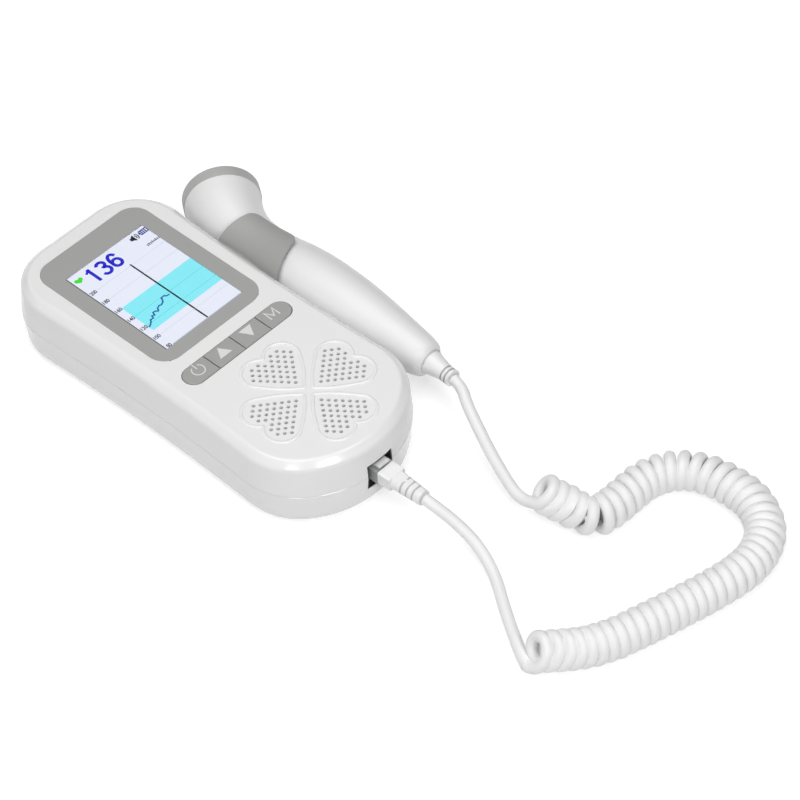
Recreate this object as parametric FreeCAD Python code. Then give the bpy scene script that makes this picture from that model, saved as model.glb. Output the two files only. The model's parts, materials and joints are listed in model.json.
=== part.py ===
"""Fetal doppler monitor: a hand-held display unit with a probe clipped to its right flank.

Millimetres. The origin is the centre of the flat back that the monitor rests on. +Z rises out of
the screen, +Y points to the top of the screen, and +X points to the side that carries the probe.
"""
import FreeCAD, Part
import math
import os

V = FreeCAD.Vector
UP = V(0, 0, 1)
ALONG_Y = V(0, 1, 0)
ALONG_X = V(1, 0, 0)

# ---------------------------------------------------------------- casing
SIDE_MARGIN = 8.9          # from the screen surround out to the foot of the top bevel
TOP_MARGIN = 8.7           # from the surround's upper edge to the upper end
LOW_MARGIN = 7.2           # from the lowest heart to the lower end
FLANK_WAIST = 1.44         # each flank draws in by this much at its middle
SEAM_Z = 15.5              # where the front and rear shells meet
LOW_END_RADIUS = 39.0      # big round of the lower end
LOW_BLEND_RADIUS = 24.0    # between that round and the flanks
CORNER_RADIUS = 20.3       # two upper corners
BEVEL_WIDTH = 2.8
BEVEL_DROP = 2.5
BEVEL_FOOT_ROUND = 2.6
BEVEL_HEAD_ROUND = 2.0
SEAM_SWELL = 1.0           # the seam stands this far outside the foot of the bevel
BACK_TAPER = 1.4           # the rear shell draws in by this much from seam to back
BACK_ROUND = 6.2
WALL = 2.0
SEAM_GAP = 0.15
SEAM_CHAMFER = 0.25
LIP_HEIGHT = 1.4           # locating lip of the rear shell inside the front shell
LIP_THICK = 0.9
SMALL_GAP = 0.1            # between pieces that sit in one another
SLIDE_GAP = 0.25           # between pieces that slide past one another

# ---------------------------------------------------------------- screen
VIEW_WIDTH = 36.8          # active area of a 2.4 inch panel
VIEW_LENGTH = 50.4
VIEW_CENTRE_Y = 32.8
BEZEL_SIDE = 6.25          # grey border beside, above and below the active area
BEZEL_HEAD = 10.7
BEZEL_CHIN = 5.7
BEZEL_RADIUS = 7.3
BEZEL_THICK = 0.7
WINDOW_THICK = 0.6
WINDOW_EDGE = 1.6          # how far the window's foot reaches under the bezel
PANEL_SIDE = 2.9           # glass beside and beyond the active area
PANEL_END = 4.9
PANEL_THICK = 2.4
PANEL_LIFT = 6.55          # from the board up to the panel
FRAME_WALL = 1.2
RIBBON_THICK = 0.3

# ---------------------------------------------------------------- keys
KEY_COUNT = 4
KEY_PITCH = 12.4
KEY_HEIGHT = 8.4
KEY_DROP = 10.1            # from the surround's lower edge to the middle of the keys
KEY_PROUD = 0.25
KEY_GROOVE = 0.35
KEY_FLANGE = 0.8
KEY_FLANGE_THICK = 0.9
KEY_TRAVEL = 0.5
KEY_NAMES = ("power_key", "up_key", "down_key", "mode_key")
KEY_MAT_THICK = 0.5
SWITCH_SIZE = 6.0
STEM_RADIUS = 1.75
STEM_LENGTH = 2.75

# ---------------------------------------------------------------- grille and speaker
GRILLE_DROP = 4.7          # from the keys to the nearest heart
HEART_TIP = 1.8            # from the clover's centre to a heart's point
LOBE_RADIUS = 6.9
LOBE_ALONG = 18.0          # lobe centre along the heart's axis
LOBE_ACROSS = 5.3
RIDGE_WIDTH = 1.1
RIDGE_HEIGHT = 0.35
HOLE_RADIUS = 0.65
HOLE_ROWS = (1, 2, 3, 4, 5, 6, 7, 6, 5)
FIRST_ROW = 6.0
ROW_PITCH = 1.87
HOLE_PITCH = 3.0
SPEAKER_RADIUS = 18.0
SPEAKER_RIM = 1.6
BASKET_DEPTH = 2.4
BASKET_STEEL = 0.6
CONE_NECK_RADIUS = 3.6
CONE_CAP_RADIUS = 2.0
CONE_THICK = 0.3
MAGNET_RADIUS = 8.5
MAGNET_ROOM = 1.15         # from the magnet to the board
GASKET_WIDTH = 2.2
GASKET_THICK = 0.6
CLOTH_MARGIN = 1.4         # cloth beyond the middle of the last row of holes
CLOTH_THICK = 0.2

# ---------------------------------------------------------------- board, batteries and door
BATTERY_RADIUS = 7.1
BATTERY_LENGTH = 50.0
BATTERY_CAP_RADIUS = 2.7
BATTERY_CAP_LENGTH = 1.2
SPRING_FOOT_RADIUS = 4.0
SPRING_TIP_RADIUS = 2.6
PLATE_THICK = 0.4
BAY_WALL = 1.2
BAY_END_ROOM = 12.2        # from the cells to the upper end
BOARD_THICK = 1.6
BOARD_SIDE = 0.4           # board beyond the panel's sides
BOARD_END_GAP = 0.6        # from the jack's back to the board
BOARD_GAP = 0.5            # from the cells to the board
CHIP_THICK = 1.0
# packages as x and y from the middle of the screen, and width
CHIPS = ((0.0, 0.0, 9.0), (-9.0, -14.0, 5.0), (8.0, 13.0, 6.0))
DOOR_SIDE = 2.3            # door beyond the cells' sides
DOOR_LOW_MARGIN = 2.0      # door below the cells' ends
DOOR_LIP_Z = 11.0          # how far the door reaches up the end wall
DOOR_RAIL = 1.3
DOOR_RAIL_THICK = 0.85
GRIP_COUNT = 5

# ---------------------------------------------------------------- screws
CASE_SCREW_DROP = 6.0      # the lower case screws sit this far below the clover's centre
BOSS_RADIUS = 2.6
SCREW_RADIUS = 1.0
SCREW_HEAD_RADIUS = 1.9
SCREW_HEAD_THICK = 1.3
SCREW_SINK = 1.2           # the heads sit this deep in the back
CASE_SCREW_BITE = 7.0      # thread inside the front shell's boss
POST_RADIUS = 2.2
POST_MARGIN = 2.7          # from a post's middle to the board's edges
LOW_POST_RISE = 20.0       # the lower posts sit this far above the clover's centre
TOP_POST_GAP = 1.2         # from the panel to the upper posts
BOARD_SCREW_LENGTH = 5.0

# ---------------------------------------------------------------- jack and plug
JACK_CHEEK = 1.975         # black plastic beside, under and over the plug
JACK_BLOCK = 2.95
JACK_CENTRE_Z = 14.85
JACK_DEPTH = 14.3
JACK_INSET = 1.6           # from the seam's outline back to the jack's face
PLUG_WIDTH = 7.65
PLUG_HEIGHT = 5.3
PLUG_DEPTH = 10.0          # length inside the jack
PLUG_BARE = 3.5            # clear length between the jack and the boot
PLUG_GAP = 0.15
LATCH_WIDTH = 4.8
LATCH_THICK = 0.9
LATCH_RISE = 0.9
LATCH_ROOT = 1.3           # the latch's living hinge, from the plug's nose
LATCH_SLOT_GAP = 0.35
CONTACT_COUNT = 4
CONTACT_PITCH = 1.27
BOOT_HEIGHT = 5.6
BOOT_RISE = 0.5            # the boot's axis above the plug's
BOOT_BLOCK = 5.3
BOOT_RELIEF = 12.1
BOOT_ROUND = 0.7
RELIEF_START_RADIUS = 3.5
RELIEF_END_RADIUS = 2.85
GROOVE_WIDTH = 0.7
GROOVE_DEPTH = 0.45
PHONE_BORE_RADIUS = 1.8
PHONE_BORE_LENGTH = 11.0
PHONE_X = 8.0
PHONE_BODY_WIDTH = 6.4
PHONE_BODY_HEIGHT = 5.4
PHONE_BARREL_RADIUS = 2.7
PHONE_BODY_LENGTH = 9.0

# ---------------------------------------------------------------- probe and its clip
PROBE_AIR = 3.25           # from the flank to the probe's neck
PROBE_TAIL_Y = -53.1
PROBE_WALL = 1.8
HEAD_RADIUS = 14.4
HEAD_TURN = 35.8           # degrees that the head leans outwards
NECK_LENGTH = 2.1          # from the last station of the handle to the bend
HEAD_BEND_CORNER = 17.6    # from the start of the bend to the corner of its two tangents
HEAD_LENGTH = 15.0         # from that corner to the cap
CAP_LENGTH = 3.6
CAP_ROUND = 1.2
CAP_RIM = 2.0              # grey rim round the face
FACE_THICK = 1.0
CRYSTAL_RADIUS = 4.6
CRYSTAL_THICK = 0.8
CRYSTAL_COUNT = 4
BACKING_RIM = 1.4          # the backing lies this far inside the face's edge
BACKING_THICK = 4.0
PROBE_BOARD_THICK = 1.2
PROBE_BOARD_GAP = 1.0
PROBE_RIB_INSET = 5.0      # ribs from the board's ends
PROBE_RIB_THICK = 1.2
PROBE_SCREW_DROP = 6.3     # seats of the two screws under the handle, below its axis
PROBE_SCREW_RISE = 31.0    # lower screw from the tail
PROBE_SCREW_INSET = 3.0    # upper screw from the bend
PROBE_SCREW_LENGTH = 10.0
# radius of the handle at each distance up from its tail
HANDLE_PROFILE = (
    (1.4, 6.6), (5.0, 7.6), (10.0, 8.4), (16.0, 9.3), (23.0, 10.3), (31.0, 11.3),
    (40.0, 12.1), (50.0, 12.5), (59.0, 12.35), (66.0, 11.7), (73.0, 10.85), (79.0, 10.4),
)
NECK_RADIUS = 10.3
# share of the neck-to-head flare at each share of the bend
HEAD_FLARE = ((0.2, 0.1), (0.4, 0.32), (0.6, 0.6), (0.8, 0.84))
RELIEF_BASE_RADIUS = 4.5
RELIEF_TIP_RADIUS = 3.15
RELIEF_CONE = 6.6
RELIEF_LENGTH = 11.2
RELIEF_LEAN = 4.0          # degrees that the strain relief leans towards the monitor
CLIP_THICK = 1.5
CLIP_FREE_ANGLE = 70.0     # from the outward horizontal up to the upper arm's edge
CLIP_LOWER_ANGLE = 245.0
CLIP_AIR = 0.15
CLIP_BELOW_BEND = 19.0     # the clip's root starts this far below the bend
CLIP_ROOT_LENGTH = 30.5
CLIP_TIP_INSET = 5.2       # its free end starts this far above its root
CLIP_TIP_LENGTH = 21.2
CLIP_CORNER = 4.0
CLIP_FOOT_DROP = 6.4       # foot from below the probe's axis
CLIP_FOOT_HEIGHT = 13.0
CLIP_SCREW_DROP = 4.0      # its screws below the seam
CLIP_SCREW_LENGTH = 5.0
# the clip's bore past the handle: growth of the neck at each share of the bend
CLIP_NECK = ((0.32, 0.15), (0.9, 1.0))

# ---------------------------------------------------------------- cord
CORD_RADIUS = 2.1
FLOOR = 0.05               # the cord lies this far above the table
COIL_RADIUS = 7.0
JOIN_GAP = 0.3
PROBE_RUN = (
    (47.3, -64.6, 14.4), (46.8, -68.8, 14.0), (43.1, -74.8, 12.1), (39.9, -83.0, 8.6),
    (36.9, -91.0, 5.3), (33.7, -100.0, 3.0), (31.0, -108.5, 2.15), (31.2, -118.5, 2.15),
)
COIL_ROUTE = (
    (33.0, -116.5, 7.05), (33.5, -127.5, 7.05), (37.0, -141.2, 7.05), (51.5, -140.2, 7.05),
    (66.5, -139.8, 7.05), (76.5, -149.5, 7.05), (78.3, -166.0, 7.05), (73.5, -184.5, 7.05),
    (56.5, -190.8, 7.05), (34.0, -186.3, 7.05), (11.0, -180.2, 7.05), (-8.0, -172.6, 7.05),
    (-20.2, -158.8, 7.05),
)
PLUG_RUN = (
    (0.0, -94.7, 15.35), (0.2, -98.5, 14.9), (2.5, -105.5, 10.4), (3.4, -115.0, 5.6),
    (-0.6, -126.5, 2.6), (-8.8, -138.0, 2.15), (-15.8, -148.5, 2.15), (-19.8, -156.5, 2.15),
    (-16.5, -163.0, 2.15),
)

# ---------------------------------------------------------------- derived places
BEZEL_WIDTH = VIEW_WIDTH + 2 * BEZEL_SIDE
BEZEL_LENGTH = VIEW_LENGTH + BEZEL_HEAD + BEZEL_CHIN
BEZEL_CENTRE_Y = VIEW_CENTRE_Y + (BEZEL_HEAD - BEZEL_CHIN) / 2
PANEL_WIDTH = VIEW_WIDTH + 2 * PANEL_SIDE
PANEL_LENGTH = VIEW_LENGTH + 2 * PANEL_END
PANEL_TOP_Y = VIEW_CENTRE_Y + PANEL_LENGTH / 2
KEY_CENTRE_Y = BEZEL_CENTRE_Y - BEZEL_LENGTH / 2 - KEY_DROP
HEART_REACH = LOBE_ALONG + LOBE_RADIUS
CLOVER_Y = KEY_CENTRE_Y - KEY_HEIGHT / 2 - GRILLE_DROP - HEART_REACH
BODY_WIDTH = BEZEL_WIDTH + 2 * SIDE_MARGIN
BODY_TOP_Y = BEZEL_CENTRE_Y + BEZEL_LENGTH / 2 + TOP_MARGIN
BODY_LOW_Y = CLOVER_Y - HEART_REACH - LOW_MARGIN

BATTERY_Z = WALL + DOOR_RAIL_THICK + 2 * SLIDE_GAP + BATTERY_RADIUS
BOARD_Z = BATTERY_Z + BATTERY_RADIUS + BOARD_GAP
BOARD_TOP = BOARD_Z + BOARD_THICK
PANEL_Z = BOARD_TOP + PANEL_LIFT
PANEL_TOP = PANEL_Z + PANEL_THICK
WINDOW_Z = PANEL_TOP + SMALL_GAP
BEZEL_Z = WINDOW_Z + WINDOW_THICK
BODY_HEIGHT = BEZEL_Z + BEZEL_THICK

HALF_WIDTH = BODY_WIDTH / 2
LOW_CENTRE_Y = BODY_LOW_Y + LOW_END_RADIUS
BLEND_X = HALF_WIDTH - LOW_BLEND_RADIUS
BLEND_Y = LOW_CENTRE_Y - math.sqrt((LOW_END_RADIUS - LOW_BLEND_RADIUS) ** 2 - BLEND_X ** 2)
CORNER_X = HALF_WIDTH - CORNER_RADIUS
CORNER_Y = BODY_TOP_Y - CORNER_RADIUS
# each flank is a shallow hollow arc that touches the corner and the blend
FLANK_HALF = (CORNER_Y - BLEND_Y) / 2
FLANK_RADIUS = (FLANK_HALF ** 2 + FLANK_WAIST ** 2) / (2 * FLANK_WAIST)
CENTRES_APART = math.hypot(CORNER_X - BLEND_X, CORNER_Y - BLEND_Y)
REACH_UP = FLANK_RADIUS + CORNER_RADIUS
REACH_DOWN = FLANK_RADIUS + LOW_BLEND_RADIUS
FLANK_ALONG = (REACH_UP ** 2 - REACH_DOWN ** 2 + CENTRES_APART ** 2) / (2 * CENTRES_APART)
FLANK_OFF = math.sqrt(REACH_UP ** 2 - FLANK_ALONG ** 2)
DOWN_X = (BLEND_X - CORNER_X) / CENTRES_APART
DOWN_Y = (BLEND_Y - CORNER_Y) / CENTRES_APART
FLANK_CENTRE_X = CORNER_X + DOWN_X * FLANK_ALONG - DOWN_Y * FLANK_OFF
FLANK_CENTRE_Y = CORNER_Y + DOWN_Y * FLANK_ALONG + DOWN_X * FLANK_OFF
CORNER_START = math.degrees(math.atan2(FLANK_CENTRE_Y - CORNER_Y, FLANK_CENTRE_X - CORNER_X))
BLEND_END = math.degrees(math.atan2(FLANK_CENTRE_Y - BLEND_Y, FLANK_CENTRE_X - BLEND_X))
LOW_LEAN = math.degrees(math.atan2(LOW_CENTRE_Y - BLEND_Y, BLEND_X))
BEVEL_FOOT_Z = BODY_HEIGHT - BEVEL_DROP
CEILING_Z = BODY_HEIGHT - WALL
INNER_SEAM = SEAM_SWELL - WALL
BACK_OFFSET = SEAM_SWELL - BACK_TAPER
FLANK_X = HALF_WIDTH + SEAM_SWELL

BAY_HALF = 2 * BATTERY_RADIUS + 2 * SLIDE_GAP
DOOR_HALF_WIDTH = BAY_HALF + DOOR_SIDE
RAIL_HALF = DOOR_HALF_WIDTH + DOOR_RAIL
BAY_INNER = max(BAY_HALF, RAIL_HALF + SLIDE_GAP)
BATTERY_TOP_Y = BODY_TOP_Y - BAY_END_ROOM
BATTERY_LOW_Y = BATTERY_TOP_Y - BATTERY_CAP_LENGTH - BATTERY_LENGTH
DOOR_LOW_Y = BATTERY_LOW_Y - DOOR_LOW_MARGIN

KEY_STRIP_HALF = KEY_COUNT * KEY_PITCH / 2
KEY_LOW_Z = CEILING_Z - KEY_FLANGE_THICK - SMALL_GAP
KEY_MAT_Z = KEY_LOW_Z - KEY_TRAVEL - SMALL_GAP - KEY_MAT_THICK
CLOTH_RADIUS = FIRST_ROW + (len(HOLE_ROWS) - 1) * ROW_PITCH + CLOTH_MARGIN

JACK_WIDTH = PLUG_WIDTH + 2 * JACK_CHEEK
JACK_HEIGHT = PLUG_HEIGHT + 2 * JACK_BLOCK
JACK_FACE_Y = BODY_LOW_Y - SEAM_SWELL + JACK_INSET
JACK_LOW_Z = JACK_CENTRE_Z - JACK_HEIGHT / 2
PLUG_LOW_Z = JACK_CENTRE_Z - PLUG_HEIGHT / 2
PLUG_NOSE_Y = JACK_FACE_Y + PLUG_DEPTH
BOOT_Y = JACK_FACE_Y - PLUG_BARE
BOOT_END_Y = BOOT_Y - BOOT_BLOCK - BOOT_RELIEF
BOOT_MID_Z = JACK_CENTRE_Z + BOOT_RISE
PHONE_Z = BOARD_TOP + PHONE_BODY_HEIGHT / 2

SWITCH_REACH = (KEY_COUNT - 1) * KEY_PITCH / 2 + SWITCH_SIZE / 2
BOARD_HALF_WIDTH = max(PANEL_WIDTH / 2 + BOARD_SIDE, SWITCH_REACH + SMALL_GAP)
BOARD_LOW_Y = JACK_FACE_Y + JACK_DEPTH + BOARD_END_GAP
LOW_POST = (BOARD_HALF_WIDTH - POST_MARGIN, CLOVER_Y + LOW_POST_RISE)
TOP_POST = (BAY_INNER - SLIDE_GAP - SCREW_HEAD_RADIUS, PANEL_TOP_Y + TOP_POST_GAP + POST_RADIUS)
BOARD_TOP_Y = TOP_POST[1] + POST_MARGIN
BOARD_POSTS = ((-LOW_POST[0], LOW_POST[1]), LOW_POST, (-TOP_POST[0], TOP_POST[1]), TOP_POST)
CASE_SCREW_X = BOARD_HALF_WIDTH + SLIDE_GAP + BOSS_RADIUS
CASE_SCREW_TOP_Y = CORNER_Y
CASE_SCREW_LOW_Y = CLOVER_Y - CASE_SCREW_DROP

PROBE_X = FLANK_X + PROBE_AIR + NECK_RADIUS
PROBE_Z = HEAD_RADIUS      # the head's rim rests on the table
HEAD_BEND_START = PROBE_TAIL_Y + HANDLE_PROFILE[-1][0] + NECK_LENGTH
TURN = math.radians(HEAD_TURN)
HEAD_DIRECTION = V(math.sin(TURN), math.cos(TURN), 0)
BEND_CORNER = V(PROBE_X, HEAD_BEND_START + HEAD_BEND_CORNER, PROBE_Z)
CAP_BACK = BEND_CORNER + HEAD_DIRECTION * HEAD_LENGTH
CAP_FRONT = CAP_BACK + HEAD_DIRECTION * CAP_LENGTH
FACE_RADIUS = HEAD_RADIUS - CAP_RIM
BACKING_RADIUS = FACE_RADIUS - BACKING_RIM
CRYSTAL_RING = BACKING_RADIUS - CRYSTAL_RADIUS - 2 * SMALL_GAP
PROBE_SCREW_SEAT = PROBE_Z - PROBE_SCREW_DROP
PROBE_SCREW_LOW_Y = PROBE_TAIL_Y + PROBE_SCREW_RISE
PROBE_SCREW_TOP_Y = HEAD_BEND_START - PROBE_SCREW_INSET
PROBE_BOARD_LOW_Y = PROBE_SCREW_LOW_Y + BOSS_RADIUS + PROBE_BOARD_GAP
PROBE_BOARD_TOP_Y = PROBE_SCREW_TOP_Y - BOSS_RADIUS - PROBE_BOARD_GAP
CLIP_ROOT_LOW_Y = HEAD_BEND_START - CLIP_BELOW_BEND
CLIP_ROOT_TOP_Y = CLIP_ROOT_LOW_Y + CLIP_ROOT_LENGTH
CLIP_TIP_LOW_Y = CLIP_ROOT_LOW_Y + CLIP_TIP_INSET
CLIP_TIP_TOP_Y = CLIP_TIP_LOW_Y + CLIP_TIP_LENGTH
CLIP_FOOT_Z = PROBE_Z - CLIP_FOOT_DROP


# ---------------------------------------------------------------- shared shapes
def box(x0, x1, y0, y1, z0, z1):
    """A block between two corners."""
    return Part.makeBox(x1 - x0, y1 - y0, z1 - z0, V(x0, y0, z0))


def cylinder(radius, length, base, axis=UP):
    """A round bar from its base point along an axis."""
    return Part.makeCylinder(radius, length, base, axis)


def fused(shapes):
    """One solid from several that touch."""
    joined = shapes[0]
    for shape in shapes[1:]:
        joined = joined.fuse(shape)
    return joined.removeSplitter()


def arc_edge(cx, cy, radius, start, end, z):
    """A level arc between two angles in degrees."""
    points = []
    for angle in (start, (start + end) / 2, end):
        turn = math.radians(angle)
        points.append(V(cx + radius * math.cos(turn), cy + radius * math.sin(turn), z))
    return Part.Arc(*points).toShape()


def line_edge(x0, y0, x1, y1, z):
    """A level straight edge."""
    return Part.LineSegment(V(x0, y0, z), V(x1, y1, z)).toShape()


def casing_outline(offset, z):
    """The monitor's outline seen from above, grown by an offset, as eight tangent edges."""
    top = BODY_TOP_Y + offset
    corner = CORNER_RADIUS + offset
    blend = LOW_BLEND_RADIUS + offset
    low = LOW_END_RADIUS + offset
    flank = FLANK_RADIUS - offset
    far = FLANK_CENTRE_X
    mid = FLANK_CENTRE_Y
    return Part.Wire([
        arc_edge(far, mid, flank, BLEND_END + 180, CORNER_START + 180, z),
        arc_edge(CORNER_X, CORNER_Y, corner, CORNER_START, 90, z),
        line_edge(CORNER_X, top, -CORNER_X, top, z),
        arc_edge(-CORNER_X, CORNER_Y, corner, 90, 180 - CORNER_START, z),
        arc_edge(-far, mid, flank, -CORNER_START, -BLEND_END, z),
        arc_edge(-BLEND_X, BLEND_Y, blend, 180 - BLEND_END, 180 + LOW_LEAN, z),
        arc_edge(0, LOW_CENTRE_Y, low, 180 + LOW_LEAN, 360 - LOW_LEAN, z),
        arc_edge(BLEND_X, BLEND_Y, blend, -LOW_LEAN, BLEND_END, z),
    ])


def casing_solid(levels):
    """A solid with straight walls between outlines, each level an (offset, z) pair."""
    return Part.makeLoft([casing_outline(offset, z) for offset, z in levels], True, True)


def edges_at(shape, z):
    """The edges of a shape that lie level at a height."""
    found = []
    for edge in shape.Edges:
        bounds = edge.BoundBox
        if abs(bounds.ZMin - z) < 0.01 and abs(bounds.ZMax - z) < 0.01:
            found.append(edge)
    return found


def rounded_plate(width, length, radius, centre_y, z, thick):
    """A flat plate with round corners, centred on x = 0."""
    half = width / 2
    x = half - radius
    low = centre_y - length / 2
    top = centre_y + length / 2
    wire = Part.Wire([
        line_edge(half, low + radius, half, top - radius, z),
        arc_edge(x, top - radius, radius, 0, 90, z),
        line_edge(x, top, -x, top, z),
        arc_edge(-x, top - radius, radius, 90, 180, z),
        line_edge(-half, top - radius, -half, low + radius, z),
        arc_edge(-x, low + radius, radius, 180, 270, z),
        line_edge(-x, low, x, low, z),
        arc_edge(x, low + radius, radius, 270, 360, z),
    ])
    return Part.Face(wire).extrude(V(0, 0, thick))


def key_strip(grow, z, thick):
    """The stadium that the four keys share, grown all round by a margin."""
    radius = KEY_HEIGHT / 2 + grow
    x = KEY_STRIP_HALF - KEY_HEIGHT / 2
    wire = Part.Wire([
        line_edge(-x, KEY_CENTRE_Y - radius, x, KEY_CENTRE_Y - radius, z),
        arc_edge(x, KEY_CENTRE_Y, radius, -90, 90, z),
        line_edge(x, KEY_CENTRE_Y + radius, -x, KEY_CENTRE_Y + radius, z),
        arc_edge(-x, KEY_CENTRE_Y, radius, 90, 270, z),
    ])
    return Part.Face(wire).extrude(V(0, 0, thick))


def heart(grow, z, thick):
    """One heart that points at the clover's centre from +X: two lobes and two tangent sides."""
    radius = LOBE_RADIUS + grow
    reach = math.hypot(LOBE_ALONG - HEART_TIP, LOBE_ACROSS)
    half_angle = math.asin(LOBE_RADIUS / reach)
    slope = math.atan2(LOBE_ACROSS, LOBE_ALONG - HEART_TIP) + half_angle
    tip = HEART_TIP - grow / math.sin(slope)
    touch_x = LOBE_ALONG - radius * math.sin(slope)
    touch_y = LOBE_ACROSS + radius * math.cos(slope)
    cleft = LOBE_ALONG + math.sqrt(radius ** 2 - LOBE_ACROSS ** 2)
    start = 90 + math.degrees(slope)
    end = -math.degrees(math.atan2(LOBE_ACROSS, cleft - LOBE_ALONG))
    wire = Part.Wire([
        line_edge(tip, 0, touch_x, touch_y, z),
        arc_edge(LOBE_ALONG, LOBE_ACROSS, radius, start, end, z),
        arc_edge(LOBE_ALONG, -LOBE_ACROSS, radius, -end, -start, z),
        line_edge(touch_x, -touch_y, tip, 0, z),
    ])
    return Part.Face(wire).extrude(V(0, 0, thick))


def four_ways(shape):
    """Four copies of a shape about the clover's centre."""
    copies = []
    for quarter in range(4):
        turned = shape.copy()
        turned.rotate(V(0, 0, 0), UP, 90 * quarter)
        turned.translate(V(0, CLOVER_Y, 0))
        copies.append(turned)
    return copies


def grille_holes():
    """The speaker holes of all four hearts: staggered rows, with the cleft left out of the last."""
    holes = []
    for row, count in enumerate(HOLE_ROWS):
        along = FIRST_ROW + row * ROW_PITCH
        for place in range(count):
            across = (place - (count - 1) / 2) * HOLE_PITCH
            in_cleft = row == len(HOLE_ROWS) - 1 and abs(across) < HOLE_PITCH / 2
            if not in_cleft:
                base = V(along, across, CEILING_Z - WALL)
                holes.extend(four_ways(cylinder(HOLE_RADIUS, 3 * WALL, base)))
    return holes


def screw(x, y, z, length, head_down=True):
    """A pan-head screw, its head at z and its shank running on by a length, with a cross slot."""
    way = 1 if head_down else -1
    axis = V(0, 0, way)
    head = cylinder(SCREW_HEAD_RADIUS, SCREW_HEAD_THICK, V(x, y, z), axis)
    shank = cylinder(SCREW_RADIUS, length, V(x, y, z + way * SCREW_HEAD_THICK), axis)
    slot_half = SCREW_HEAD_RADIUS * 0.65
    slot_wide = SCREW_HEAD_RADIUS * 0.14
    depth = SCREW_HEAD_THICK * 0.5
    low = min(z, z + way * depth)
    cross = [
        box(x - slot_half, x + slot_half, y - slot_wide, y + slot_wide, low, low + depth),
        box(x - slot_wide, x + slot_wide, y - slot_half, y + slot_half, low, low + depth),
    ]
    return head.fuse(shank).cut(Part.makeCompound(cross)).removeSplitter()


# ---------------------------------------------------------------- casing pieces
def casing_outside():
    """The whole casing's outer form, with its soft bevel and rounded back."""
    solid = casing_solid([
        (BACK_OFFSET, 0), (SEAM_SWELL, SEAM_Z), (0, BEVEL_FOOT_Z), (-BEVEL_WIDTH, BODY_HEIGHT),
    ])
    solid = solid.makeFillet(BEVEL_FOOT_ROUND, edges_at(solid, BEVEL_FOOT_Z))
    solid = solid.makeFillet(BEVEL_HEAD_ROUND, edges_at(solid, BODY_HEIGHT))
    return solid.makeFillet(BACK_ROUND, edges_at(solid, 0))


def jack_opening(grow):
    """The square space that the jack fills in the lower end, grown by a margin."""
    half = JACK_WIDTH / 2 + grow
    low = JACK_LOW_Z - grow
    high = JACK_LOW_Z + JACK_HEIGHT + grow
    return box(-half, half, BODY_LOW_Y - BODY_HEIGHT, JACK_FACE_Y + JACK_DEPTH, low, high)


def case_screw_places():
    """The four case screws seen from above."""
    places = []
    for x in (-CASE_SCREW_X, CASE_SCREW_X):
        for y in (CASE_SCREW_LOW_Y, CASE_SCREW_TOP_Y):
            places.append((x, y))
    return places


def front_outside(outside):
    """The front half of the outer form, its edge chamfered where it meets the rear half."""
    low = SEAM_Z + SEAM_GAP / 2
    spread = 2 * BEVEL_WIDTH
    edge = SEAM_SWELL - SEAM_CHAMFER
    return outside.common(casing_solid([
        (edge, low), (edge + spread, low + spread), (edge + spread, BODY_HEIGHT + 1),
    ]))


def front_shell(outside):
    """Front half of the casing: screen seat, key slot, grille with raised hearts, screw bosses."""
    cavity = casing_solid([
        (INNER_SEAM, SEAM_Z - WALL), (INNER_SEAM, SEAM_Z + LIP_HEIGHT + WALL),
        (-WALL, BEVEL_FOOT_Z - WALL), (-WALL - BEVEL_WIDTH, CEILING_Z),
    ])
    shell = front_outside(outside).cut(cavity)
    ridge = heart(0, BODY_HEIGHT - WALL / 2, WALL / 2 + RIDGE_HEIGHT)
    ridge = ridge.cut(heart(-RIDGE_WIDTH, 0, 2 * BODY_HEIGHT))
    rim = edges_at(ridge, BODY_HEIGHT + RIDGE_HEIGHT)
    ridge = ridge.makeFillet(RIDGE_HEIGHT * 0.8, rim)
    bosses = []
    for x, y in case_screw_places():
        height = CEILING_Z + WALL / 2 - SEAM_Z - SEAM_GAP
        boss = cylinder(BOSS_RADIUS, height, V(x, y, SEAM_Z + SEAM_GAP))
        bosses.append(boss)
    for x, y in BOARD_POSTS:
        base = V(x, y, BOARD_TOP + SMALL_GAP / 2)
        bosses.append(cylinder(POST_RADIUS, CEILING_Z + WALL / 2 - base.z, base))
    shell = fused([shell] + four_ways(ridge) + bosses)
    cuts = [
        rounded_plate(BEZEL_WIDTH + 2 * SMALL_GAP, BEZEL_LENGTH + 2 * SMALL_GAP,
                      BEZEL_RADIUS + SMALL_GAP, BEZEL_CENTRE_Y, WINDOW_Z, 2 * WALL),
        screen_block(PANEL_WIDTH + 2 * SMALL_GAP, PANEL_LENGTH + 2 * SMALL_GAP,
                     PANEL_Z, BODY_HEIGHT + 1),
        key_strip(SLIDE_GAP, KEY_LOW_Z, 3 * WALL),
        phone_barrel(SMALL_GAP),
        jack_opening(SMALL_GAP),
    ]
    for x, y in case_screw_places():
        cuts.append(cylinder(SCREW_RADIUS, CEILING_Z - SEAM_Z, V(x, y, SEAM_Z)))
    for x, y in BOARD_POSTS:
        cuts.append(cylinder(SCREW_RADIUS, BOARD_SCREW_LENGTH, V(x, y, BOARD_TOP)))
    return shell.cut(Part.makeCompound(cuts)).cut(Part.makeCompound(grille_holes()))


def screen_block(width, length, z0, z1):
    """A square block centred on the screen."""
    half = width / 2
    return box(-half, half, VIEW_CENTRE_Y - length / 2, VIEW_CENTRE_Y + length / 2, z0, z1)


def rear_outside(outside):
    """The rear half of the outer form, its edge chamfered where it meets the front half."""
    high = SEAM_Z - SEAM_GAP / 2
    spread = 2 * BEVEL_WIDTH
    edge = SEAM_SWELL - SEAM_CHAMFER
    return outside.common(casing_solid([
        (edge + spread, -1), (edge + spread, high - spread), (edge, high),
    ]))


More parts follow.
